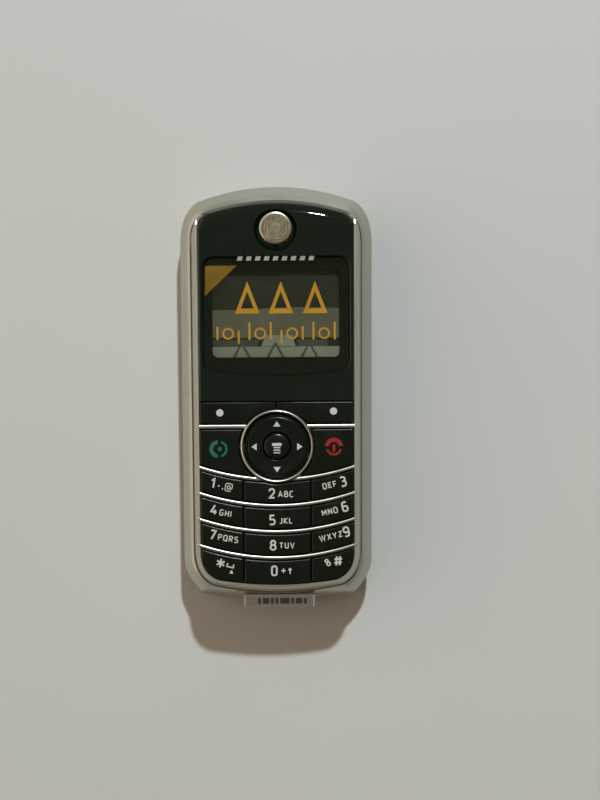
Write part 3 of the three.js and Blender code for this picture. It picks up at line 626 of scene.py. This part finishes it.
def name_dashes():
    """A plain row of slanted silver dashes under the emblem."""
    pieces = []
    for i in range(9):
        x = -8.4 + 2.1 * i
        pieces.append(prism("dash", [(x - 0.72, 32.0), (x + 0.46, 32.0), (x + 0.72, 33.0), (x - 0.46, 33.0)],
                            18.59, 18.62))
    add_piece(merge("name_dashes", pieces), "name_grey", "handset")


def emblem():
    """A satin disc with concentric grooves and three spokes."""
    face = 18.66
    rows = [(0, 17.45), (3.3, 17.45), (3.7, 17.6), (EMBLEM_RADIUS, 17.85), (EMBLEM_RADIUS, 18.35),
            (3.78, 18.5), (3.6, 18.62), (3.36, face)]
    for radius in (2.95, 2.25, 1.55):
        rows += [(radius + 0.13, face), (radius + 0.07, 18.58), (radius, 18.53), (radius - 0.07, 18.58),
                 (radius - 0.13, face)]
    rows.append((0, face))
    disc = lathe("emblem_disc_fine", rows, 0, EMBLEM_Y)
    spoke = ((1.1, -0.1), (3.5, -0.1), (3.5, 0.1), (1.1, 0.1))
    for k in range(3):
        cut(disc, prism("spoke", turned(spoke, 60 + 120 * k, 0, EMBLEM_Y), 18.5, 20))
    soften(disc, 0.04, 2, 50)
    add_piece(disc, "emblem_steel", "handset", ["emblem_disc"], sharp=28)


# ---- Keys and their legends ----

RING_ROOM = RING_OUTER + KEY_GAP
key_faces = {}


def add_key(cap, name, sharp):
    """Remembers the key's face, which its legend follows, and hangs the key."""
    key_faces[name] = BVHTree.FromPolygons([v.co.copy() for v in cap.data.vertices],
                                           [tuple(f.vertices) for f in cap.data.polygons])
    add_piece(cap, "key_black", name, [name], sharp=sharp)


def spacing(length):
    """Shares from 0 to 1 along a cap, close together at its rounded edges."""
    edge = [0, 0.03, 0.08, 0.15, 0.25, 0.38, 0.55]
    inner = [0.55 + (length - 1.1) * i / 10 for i in range(1, 10)]
    return [d / length for d in edge + inner + [length - d for d in reversed(edge)]]


def key_cap(name, x_low, x_high, y_low, y_high, size, front=KEY_FRONT - 0.12, crown=0.12, radius=0.36):
    """A cap between two side curves and two end curves, with rounded edges and a crowned face."""
    across, along = spacing(size[0]), spacing(size[1])
    grid = []
    for v in along:
        row = []
        for u in across:
            middle = 0.5 * (x_low(-12) + x_high(-12))
            y = (y_low(middle) + y_high(middle)) / 2
            for _ in range(14):
                x = x_low(y) + (x_high(y) - x_low(y)) * u
                y = y_low(x) + (y_high(x) - y_low(x)) * v
            near_x = min(u, 1 - u) * size[0]
            near_y = min(v, 1 - v) * size[1]
            slope = math.hypot(max(0, 1 - near_x / radius), max(0, 1 - near_y / radius))
            drop = radius * (1 - math.sqrt(1 - min(1.0, slope) ** 2))
            rise = crown * (1 - (2 * u - 1) ** 2) * (1 - (2 * v - 1) ** 2)
            row.append((x, y, front - drop + rise))
        grid.append(row)
    rows, columns = len(grid), len(grid[0])
    vertices = [point for row in grid for point in row]
    faces = [(r * columns + c, r * columns + c + 1, (r + 1) * columns + c + 1, (r + 1) * columns + c)
             for r in range(rows - 1) for c in range(columns - 1)]
    rim = list(range(columns)) + [r * columns + columns - 1 for r in range(1, rows)]
    rim += [(rows - 1) * columns + c for c in range(columns - 2, -1, -1)]
    rim += [r * columns for r in range(rows - 2, 0, -1)]
    first = len(vertices)
    vertices += [(vertices[i][0], vertices[i][1], KEY_BACK) for i in rim]
    for k in range(len(rim)):
        j = (k + 1) % len(rim)
        faces.append((rim[k], first + k, first + j, rim[j]))
    faces.append(tuple(range(first + len(rim) - 1, first - 1, -1)))
    add_key(mesh_object(name + "_cap", vertices, faces), name, 50)


lower_field = [p for p in outline(FIELD, 40) if p[0] >= 0 and p[1] <= FIELD["side_foot"][1] + 0.01]


def field_bottom(x):
    reach = min(abs(x) + 0.15, lower_field[-1][0])
    for (ax, ay), (bx, by) in zip(lower_field, lower_field[1:]):
        if bx >= reach:
            return ay + (by - ay) * (reach - ax) / (bx - ax) + 0.15
    return lower_field[-1][1]


def right_side(y):
    (fx, fy), (tx, ty) = FIELD["side_foot"], FIELD["side_top"]
    return fx + (tx - fx) * (y - fy) / (ty - fy) - KEY_GAP


def left_side(y):
    return -right_side(y)


def under_ring(x):
    return NAV_Y - math.sqrt(RING_ROOM ** 2 - x * x) if abs(x) < RING_ROOM else NAV_Y


def keypad_caps():
    margin = RIB_THICK / 2 + KEY_GAP
    names = ["key_" + name for name in (*"123456789", "star", "0", "hash")]
    edge = COLUMN_EDGE + KEY_GAP / 2
    for i, name in enumerate(names):
        row, column = divmod(i, 3)
        upper = FIRST_RIB - row * ROW_PITCH - margin
        lower = FIRST_RIB - (row + 1) * ROW_PITCH + margin

        def y_high(x, upper=upper, row=row):
            level = upper + rib_lift(x)
            return min(level, under_ring(x)) if row == 0 and abs(x) < 8 else level

        def y_low(x, lower=lower, row=row):
            return field_bottom(x) if row == 3 else lower + rib_lift(x)
        if column == 0:
            key_cap(name, left_side, lambda y: -edge, y_low, y_high, (10.0, 5.0))
        elif column == 1:
            key_cap(name, lambda y: -edge + KEY_GAP, lambda y: edge - KEY_GAP, y_low, y_high, (15.6, 5.0),
                    KEY_FRONT - 0.02, 0.10)
        else:
            key_cap(name, lambda y: edge, right_side, y_low, y_high, (10.0, 5.0))


def ring_side(y):
    return math.sqrt(max(RING_ROOM ** 2 - (y - NAV_Y) ** 2, 0.0))


def upper_caps():
    rib_top = FIRST_RIB + RIB_THICK / 2 + KEY_GAP
    bar_low = BAR_Y - BAR_THICK / 2 - KEY_GAP
    bar_high = BAR_Y + BAR_THICK / 2 + KEY_GAP

    def soft_low(x):
        if abs(x) >= RING_ROOM:
            return bar_high
        return max(bar_high, NAV_Y + math.sqrt(RING_ROOM ** 2 - x * x))

    def over_rib(x):
        return rib_top + rib_lift(x)
    size, soft_size = (10.4, 9.5), (17.9, 5.0)
    key_cap("call_key", left_side, lambda y: -ring_side(y), over_rib, lambda x: bar_low, size)
    key_cap("end_key", ring_side, right_side, over_rib, lambda x: bar_low, size)
    key_cap("soft_key_left", left_side, lambda y: -KEY_GAP / 2, soft_low, lambda x: SEAM_Y - 0.2,
            soft_size, crown=0.08)
    key_cap("soft_key_right", lambda y: KEY_GAP / 2, right_side, soft_low, lambda x: SEAM_Y - 0.2,
            soft_size, crown=0.08)


def turned_key(name, profile):
    add_key(lathe(name + "_cap", profile, 0, NAV_Y, 112), name, 40)


def navigation_key():
    turned_key("nav_disc", [
        (3.35, 16.65), (7.55, 16.65), (7.55, 17.45), (7.5, 17.62), (7.38, 17.72), (7.2, 17.76), (7.08, 17.84),
        (7.0, 18.02), (6.9, 18.2), (6.72, 18.32), (6.5, 18.36), (6.2, 18.34), (5.6, 18.27), (4.8, 18.22),
        (4.2, 18.22), (3.7, 18.28), (3.5, 18.26), (3.38, 18.16), (3.35, 18.0), (3.35, 16.65)])
    turned_key("menu_key", [
        (0, KEY_BACK), (3.05, KEY_BACK), (3.05, 18.2), (3.02, 18.42), (2.92, 18.6), (2.75, 18.72),
        (2.5, 18.8), (2.0, 18.9), (1.2, 18.96), (0, 18.98)])


def mark(points):
    return prism("mark", points, -INK, INK)


def arc_band(x, y, inner, outer_radius, start, end, steps=24):
    angles = [math.radians(start + (end - start) * i / steps) for i in range(steps + 1)]
    outside = [(x + outer_radius * math.cos(a), y + outer_radius * math.sin(a)) for a in angles]
    inside = [(x + inner * math.cos(a), y + inner * math.sin(a)) for a in reversed(angles)]
    return mark(outside + inside)


# Plain technical lettering: each sign's width and then its strokes, in hundredths of its height.
SIGNS = {
    "0": "54; 27 0, 54 0, 54 100, 0 100, 0 0, 27 0",
    "1": "28; 0 76, 26 100, 26 0",
    "2": "54; 0 74, 0 100, 52 100, 52 60, 4 3, 56 3",
    "3": "54; 0 100, 50 100, 50 54, 16 54; 30 54, 54 54, 54 0, 0 0",
    "4": "62; 34 100, 3 26, 62 26; 45 52, 45 0",
    "5": "54; 50 100, 2 100; 5 100, 5 50; 2 56, 54 56, 54 0, 0 0",
    "6": "54; 48 100, 0 100, 0 0, 54 0, 54 56, 5 56",
    "7": "54; 0 98, 53 98, 18 0",
    "8": "54; 27 53, 51 53, 51 100, 3 100, 3 53, 27 53; 27 0, 54 0, 54 53, 0 53, 0 0, 27 0",
    "9": "54; 6 0, 54 0, 54 100, 0 100, 0 44, 49 44",
    "A": "62; 0 0, 31 100, 62 0; 12 30, 50 30",
    "B": "50; 0 0, 0 100; 0 100, 46 100, 46 53, 0 53; 0 53, 50 53, 50 0, 0 0",
    "C": "48; 48 100, 0 100, 0 0, 48 0",
    "D": "52; 0 0, 0 100; 0 100, 52 100, 52 0, 0 0",
    "E": "44; 0 0, 0 100; 0 96, 44 96; 0 51, 38 51; 0 4, 44 4",
    "F": "42; 0 0, 0 100; 0 96, 42 96; 0 50, 37 50",
    "G": "52; 50 100, 0 100, 0 0, 52 0, 52 50, 28 50",
    "H": "50; 0 0, 0 100; 50 0, 50 100; 0 50, 50 50",
    "I": "0; 0 0, 0 100",
    "J": "34; 34 100, 34 0, 0 0",
    "K": "48; 0 0, 0 100; 48 100, 5 50, 50 0",
    "L": "42; 0 0, 0 100; 0 4, 42 4",
    "M": "64; 0 0, 0 100; 64 0, 64 100; 0 98, 32 34, 64 98",
    "N": "52; 0 0, 0 100; 52 0, 52 100; 0 98, 52 2",
    "O": "54; 27 0, 54 0, 54 100, 0 100, 0 0, 27 0",
    "P": "48; 0 0, 0 100; 0 100, 48 100, 48 45, 0 45",
    "Q": "54; 27 0, 54 0, 54 100, 0 100, 0 0, 27 0; 32 22, 60 -8",
    "R": "50; 0 0, 0 100; 0 100, 48 100, 48 45, 0 45; 24 45, 52 0",
    "S": "50; 47 100, 0 100, 0 53, 50 53, 50 0, 0 0",
    "T": "50; 0 96, 50 96; 25 0, 25 100",
    "U": "50; 0 100, 0 0, 50 0, 50 100",
    "V": "56; 0 100, 28 0, 56 100",
    "W": "92; 0 100, 23 0, 46 95, 69 0, 92 100",
    "X": "54; 0 0, 54 100; 0 100, 54 0",
    "Y": "54; 0 100, 27 45, 54 100; 27 50, 27 0",
    "Z": "52; 2 96, 50 96, 3 4, 54 4",
    "-": "34; 0 42, 34 42",
    ",": "10; 10 12, 0 -16",
    "+": "56; 0 48, 56 48; 28 20, 28 76",
    "@": "100; 85 -12, 0 -12, 0 98, 100 98, 100 18, 70 18, 70 40;"
         " 50 18, 70 18, 70 68, 30 68, 30 18, 50 18",
    "#": "78; 16 0, 28 100; 50 0, 62 100; 0 30, 74 30; 4 70, 78 70",
}


def sign_strokes(sign):
    """The sign's width and the points of its strokes, as shares of its height."""
    width, *paths = SIGNS[sign].split(";")
    strokes = [[tuple(int(n) / 100 for n in point.split()) for point in path.split(",")] for path in paths]
    return int(width) / 100, strokes


def rounded_path(points, radius):
    """Rounds a path's right-angled corners and leaves its sharp ones."""
    out = [Vector(points[0])]
    for before, here, after in zip(points, points[1:], points[2:]):
        here = Vector(here)
        inward, onward = Vector(before) - here, Vector(after) - here
        if abs(inward.normalized().dot(onward.normalized())) > 0.2:
            out.append(here)
            continue
        reach = min(radius, inward.length * 0.98, onward.length * 0.98)
        start, end = here + inward.normalized() * reach, here + onward.normalized() * reach
        middle = start + end - here
        for i in range(7):
            angle = i / 6 * math.pi / 2
            out.append(middle + (start - middle) * math.cos(angle) + (end - middle) * math.sin(angle))
    out.append(Vector(points[-1]))
    clean = [out[0]]
    for point in out[1:]:
        if (point - clean[-1]).length > 1e-4:
            clean.append(point)
    return clean


def brush(path, width, lift=0.0):
    """A flat band of even width along a path."""
    left, right = [], []
    for i, point in enumerate(path):
        before = (point - path[i - 1]).normalized() if i else None
        after = (path[i + 1] - point).normalized() if i + 1 < len(path) else None
        before, after = before or after, after or before
        normal = Vector((-(before.y + after.y), before.x + after.x)).normalized()
        reach = width / 2 / max(0.45, normal.dot(Vector((-before.y, before.x))))
        left.append(tuple(point + normal * reach))
        right.append(tuple(point - normal * reach))
    count = len(path)
    vertices = [(x, y, lift + side) for side in (-INK, INK) for x, y in left + right]
    top = 2 * count
    faces = [(0, count, top + count, top), (count - 1, top + count - 1, top + 2 * count - 1, 2 * count - 1)]
    for i in range(count - 1):
        a, b, c, d = i, i + 1, count + i + 1, count + i
        faces += [(a, b, c, d), (top + d, top + c, top + b, top + a)]
        faces += [(a, top + a, top + b, b), (d, c, top + c, top + d)]
    return mesh_object("brush", vertices, faces)


def lettering(words, height, x, y, turn=0.0, weight=0.16, gap=0.22, stretch=1.0):
    """A line of signs about its middle; weight and gap are shares of the height."""
    body = height * (1 - weight)
    signs = [sign_strokes(sign) for sign in words]
    total = sum(width for width, _ in signs) * body * stretch + (len(words) - 1) * (gap + weight) * height
    start, pieces = -total / 2, []
    for width, strokes in signs:
        for stroke_number, points in enumerate(strokes):
            placed = [(start + px * body * stretch, (py - 0.5) * body) for px, py in points]
            pieces.append(brush(rounded_path(placed, 0.22 * body), weight * height, 0.004 * stroke_number))
        start += width * body * stretch + (gap + weight) * height
    line = merge("lettering", pieces)
    line.data.transform(Matrix.Translation((x, y, 0)) @ Matrix.Rotation(math.radians(turn), 4, "Z"))
    return line


def legend(key, pieces, paint="legend_white"):
    """Lays flat marks on a key's face, following its crown."""
    whole = merge(key + "_legend", pieces)
    for vertex in whole.data.vertices:
        above = Vector((vertex.co.x, vertex.co.y, HIGH))
        hit = key_faces[key].ray_cast(above, Vector((0, 0, -1)))[0]
        vertex.co.z += (hit.z if hit else KEY_FRONT) + 0.022
    add_piece(whole, paint, key, sharp=50)


DIGIT, LETTERS = 2.5, 1.5
BOLD, LIGHT = 0.16, 0.165
# Each digit and its letters, with the place of each and its turn in degrees.
KEY_WORDS = (
    ("2", -1.25, -22.7, 0, "ABC", 2.0, -22.85, 0), ("5", -1.2, -28.9, 0, "JKL", 2.0, -29.1, 0),
    ("8", -1.05, -34.85, 0, "TUV", 2.2, -34.9, 0), ("4", -14.85, -26.4, -10, "GHI", -12.2, -27.25, -10),
    ("7", -15.15, -32.3, -10, "PQRS", -11.6, -33.2, -10), ("3", 15.5, -20.0, 12, "DEF", 12.3, -20.8, 13),
    ("6", 15.85, -25.9, 12, "MNO", 12.3, -27.0, 13), ("9", 16.15, -31.8, 12, "WXYZ", 12.5, -32.85, 13))


def legends():
    for digit, x, y, turn, words, words_x, words_y, words_turn in KEY_WORDS:
        legend("key_" + digit, [lettering(digit, DIGIT, x, y, turn, BOLD),
                                lettering(words, LETTERS, words_x, words_y, words_turn, LIGHT, 0.2, 1.16)])
    legend("key_1", [lettering("1", DIGIT, -15.1, -20.15, -10, BOLD),
                     lettering("-,", LETTERS, -13.3, -20.8, -10, LIGHT, 0.3),
                     lettering("@", 1.8, -11.35, -21.1, -10, 0.12)])
    legend("key_0", [lettering("0", DIGIT, -0.8, -40.85, 0, BOLD), lettering("+", 2.1, 1.35, -40.8, 0, 0.13),
                     mark([(2.75, -41.6), (3.02, -41.6), (3.02, -40.75), (3.4, -40.75), (2.885, -40.1),
                           (2.37, -40.75), (2.75, -40.75)])])
    ray = ((-1, -0.2), (1, -0.2), (1, 0.2), (-1, 0.2))
    star = [mark(turned(ray, 60 * k + 80, -13.4, -38.95)) for k in range(3)]
    space = [(-11.9, -38.95), (-11.6, -39.0), (-11.75, -39.65), (-10.6, -39.9), (-10.45, -39.3),
             (-10.15, -39.35), (-10.35, -40.25), (-12.1, -39.85)]
    shift = [(-11.3, -41.4), (-10.5, -41.5), (-10.65, -40.7), (-11.1, -40.75)]
    legend("key_star", star + [mark(space), mark(shift)])
    rings = [arc_band(11.5, -38.65, 0.2, 0.5, 0, 360), arc_band(11.95, -39.3, 0.25, 0.55, 0, 360)]
    legend("key_hash", [lettering("#", DIGIT, 14.2, -38.6, 3, 0.17, 0.2, 1.12)] + rings)
    legend("soft_key_left", [mark(circle(-13.35, -3.68, 0.85, 32))])
    legend("soft_key_right", [mark(circle(13.35, -3.45, 0.85, 32))])
    arcs = [arc_band(-13.75, -12.2, 1.2, 2.1, 95, 265), arc_band(-13.55, -12.2, 1.45, 1.95, -75, 75)]
    legend("call_key", arcs + [mark(circle(-13.4, -12.2, 0.5, 20))], "legend_green")
    arcs = [arc_band(13.4, -11.8, 1.15, 2.1, 5, 175), arc_band(13.4, -12.0, 1.35, 1.9, 195, 345)]
    legend("end_key", arcs + [mark(rounded(13.08, 13.72, -13.0, -11.2, 0.3, 4))], "legend_red")
    arrow = ((6.0, 0.0), (4.75, 0.85), (4.75, -0.85))
    legend("nav_disc", [mark(turned(arrow, 90 * k, 0, NAV_Y - 0.15)) for k in range(4)])
    bars = [mark(rounded(-1.15, 1.15, NAV_Y + 0.05, NAV_Y + 0.75, 0.3, 4))]
    for k in range(3):
        y = NAV_Y - 0.3 - 0.6 * k
        bars.append(mark(rounded(-0.8, 0.8, y - 0.18, y + 0.12, 0.1, 3)))
    legend("menu_key", bars)


# ---- Label, battery, card and screws ----

def end_label():
    lean = Matrix.Translation((0.25, -48.712, 10.1)) @ Matrix.Rotation(math.radians(52), 4, "X")
    plan = rounded(-8.5, 8.5, -2.55, 2.55, 0.35, 4)
    face = 0.10
    sheet = prism("end_label_fine", plan, -0.11, face)
    sheet.data.transform(lean)
    add_piece(sheet, "label_paper", "handset", ["end_label"])
    bars, x = [], -5.1
    for width in (0.7, 1.5, 0.7, 0.7, 2.2, 0.7, 1.5, 0.7):
        bars.append(block("bar", x, x + width, -1.25, 1.25, face, 0.125))
        x += width + 0.42
    rim = stroke(plan, 0.14, face, 0.118, "end_label_rim")
    rim.data.transform(lean)
    add_piece(rim, "sim_plastic", "handset")
    ink = merge("end_label_bars", bars)
    ink.data.transform(lean)
    add_piece(ink, "label_ink", "handset")


CONTACTS = (-3.4, -1.1, 1.1, 3.4)


def battery():
    cell = prism("battery_fine", rounded(-16.95, 16.95, -40.35, 10.95, 1.0), 1.5, 6.3)
    cut(cell, *[block("contact_slot", x - 0.7, x + 0.7, 10.0, 12.0, 3.4, 5.6) for x in CONTACTS])
    soften(cell, 0.3, 3)
    add_piece(cell, "battery_case", "battery", ["battery"])
    wrap = prism("battery_label", rounded(-15.6, 15.6, -34, 6, 0.8), 1.46, 1.53)
    add_piece(wrap, "sim_plastic", "battery")
    stripes = [prism("stripe", rounded(-13.5, -13.5 + length, y, y + 1.1, 0.3, 3), 1.43, 1.47)
               for length, y in ((15, 1.5), (22, -2.2), (18, -5.4), (24, -8.6))]
    stripes.append(prism("panel", rounded(-13.5, 13.5, -32, -22, 0.8), 1.43, 1.47))
    add_piece(merge("battery_label_marks", stripes), "cover_graphite", "battery")
    pads = [block("pad", x - 0.6, x + 0.6, 10.1, 10.3, 3.6, 5.4) for x in CONTACTS]
    add_piece(merge("battery_pads", pads), "antenna_gold", "battery")


def sim_card():
    plan = [(-7.5, -17), (7.5, -17), (7.5, 8), (-5.0, 8), (-7.5, 5.5)]
    card = prism("sim_card_fine", plan, 7.0, 7.8)
    soften(card, 0.1, 2)
    add_piece(card, "sim_plastic", "sim_card", ["sim_card"])
    pads = [prism("pad", rounded(x - 1.4, x + 1.4, y - 1.1, y + 1.1, 0.3, 3), 6.97, 7.03)
            for x in (-3.2, 0, 3.2) for y in (-9, -6.4)]
    add_piece(merge("sim_card_pads", pads), "antenna_gold", "sim_card")


def screws():
    for name, x, y, back in SCREWS:
        head = lathe(name + "_fine", [(0, back), (1.15, back), (1.4, back + 0.1), (1.5, back + 0.35),
                                      (1.5, back + 0.95), (1.45, back + 1.0), (0.75, back + 1.0),
                                      (0.75, 14.3), (0.3, 14.6), (0, 14.6)], x, y, 40)
        cut(head, prism("drive", circle(x, y, 0.75, 6), back - 1, back + 0.6))
        add_piece(head, "screw_steel", "handset", [name])


def cover_latch():
    button = prism("cover_latch_fine", rounded(-3.95, 3.95, 15.25, 18.55, 0.8), 0.3, 1.9)
    for k in range(3):
        y = 16.0 + 0.8 * k
        cut(button, block("grip", -2.6, 2.6, y - 0.15, y + 0.15, 0, 0.55))
    combine(button, "UNION", block("tongue", -2.7, 2.7, 13.65, 16.0, 1.35, 1.9))
    soften(button, 0.08, 2)
    add_piece(button, "cover_graphite", "cover_latch", ["cover_latch"])


def display_zones():
    """What shows through the window, with the light and shade that fall in through it painted on: a dark
    upper half, a pale middle band and a light strip below.
    """
    base = 15.31
    low = base + 0.05
    # The dark base, seen in the upper half, is painted shade.
    dark = prism("display_painted_shade", rounded(-15.7, 15.7, 8.1, 31.5, 0.8, 3), base, low)
    add_piece(dark, "display_painted_shade", "handset")
    # The pale band and the light strip below it are painted light, where light through the window falls on
    # the display.
    band = [(-15.6, 14.0), (15.6, 14.0), (15.6, 20.9), (4.0, 21.2), (-9.0, 20.6), (-15.6, 20.6)]
    add_piece(prism("display_painted_light_band", band, low, base + 0.09), "display_painted_light_band", "handset")
    light = [prism("strip", rounded(-15.5, 15.5, 9.0, 11.9, 0.6, 3), low, base + 0.10),
             prism("middle", [(-3.6, 11.8), (4.6, 11.8), (3.7, 14.6), (-2.6, 14.6)], low, base + 0.10)]
    add_piece(merge("display_painted_light_strip", light), "display_painted_light_strip", "handset")
    # The legs under the three triangles are painted shadows of the film's print; the two patches are darker
    # too.
    shade = [prism("patch", [(-14.6, 12.0), (-4.6, 12.0), (-3.9, 13.6), (-15.2, 13.4)], low, base + 0.11),
             prism("patch", [(5.4, 12.0), (12.3, 12.0), (12.0, 13.4), (4.8, 13.6)], low, base + 0.11)]
    for x in (-8.2, -0.2, 7.8):
        for left, right, rise in ((-2.3, -1.6, 0.12), (1.6, 2.3, 0.13)):
            painted_shadow_leg = [(x + left, 9.1), (x + right, 9.1), (x + 0.25, 12.8), (x - 0.25, 12.8)]
            shade.append(prism("painted_shadow_leg", painted_shadow_leg, low, base + rise))
    add_piece(merge("display_patches_and_painted_shadows", shade), "display_patches_and_painted_shadows", "handset")


def carried_over():
    """Better materials for the CAD nodes that stay."""
    choices = {
        "bright_steel": "sim_holder dome_sheet shield_can_radio shield_can_logic earpiece_speaker microphone"
                        " vibration_motor charge_connector",
        "frame_black": "earpiece_mesh lcd_frame lcd_panel ringer_speaker antenna_carrier battery_contacts"
                       " headset_jack",
        "mat_rubber": "nav_pad keypad_mat", "board_green": "main_board", "sim_plastic": "backlight",
        "screw_steel": "vibration_weight", "antenna_gold": "antenna_plate"}
    for paint, nodes in choices.items():
        for node in nodes.split():
            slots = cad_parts[node].data.materials
            slots.clear()
            slots.append(PAINTS[paint])


rear_housing()
front_housing()
battery_cover()
lens_plate()
window_and_film()
film_print()
name_dashes()
emblem()
keypad_caps()
upper_caps()
navigation_key()
legends()
end_label()
battery()
sim_card()
screws()
cover_latch()
display_zones()
carried_over()


# ---- Floor and light ----

def floor():
    corners = [(x, y, -0.0002) for x, y in ((-2, -2), (2, -2), (2, 2), (-2, 2))]
    ground = mesh_object("table_top", corners, [(0, 1, 2, 3)])
    ground.data.materials.append(PAINTS["table_paint"])


def key_light():
    """One small cool light from beyond the earpiece end."""
    light = bpy.data.lights.new("key_light", "AREA")
    light.shape = "DISK"
    light.size = 0.09
    light.energy = 36.0
    light.color = (0.86, 0.975, 1.0)
    lamp = add_object("key_light", light)
    lamp.location = Vector((0.11, 0.70, 0.714)).normalized() * 2.0
    lamp.rotation_euler = (-lamp.location).to_track_quat("-Z", "Y").to_euler()


def eased(nodes, links, source, start, end, weak, strong):
    """Eases from weak at start to strong at end."""
    node = add_node(nodes, "MapRange", From_Min=start, From_Max=end, To_Min=weak, To_Max=strong)
    node.interpolation_type = "SMOOTHSTEP"
    links.new(source, node.inputs["Value"])
    return node.outputs["Result"]


def room():
    """A warm sky that glows low on the left and is dim low at the keypad end."""
    world = bpy.data.worlds.new("room")
    world.use_nodes = True
    nodes, links = world.node_tree.nodes, world.node_tree.links
    background = nodes["Background"]
    background.inputs["Color"].default_value = (1.0, 0.79, 0.60, 1)
    direction = nodes.new("ShaderNodeTexCoord")
    axes = nodes.new("ShaderNodeSeparateXYZ")
    links.new(direction.outputs["Generated"], axes.inputs["Vector"])
    strength = nodes.new("ShaderNodeMath")
    strength.operation = "MULTIPLY"
    links.new(eased(nodes, links, axes.outputs["X"], -0.30, -1.0, 0.25, 1.7), strength.inputs[0])
    links.new(eased(nodes, links, axes.outputs["Y"], -1.0, -0.1, 0.25, 1.0), strength.inputs[1])
    links.new(strength.outputs["Value"], background.inputs["Strength"])
    bpy.context.scene.world = world


floor()
key_light()
room()
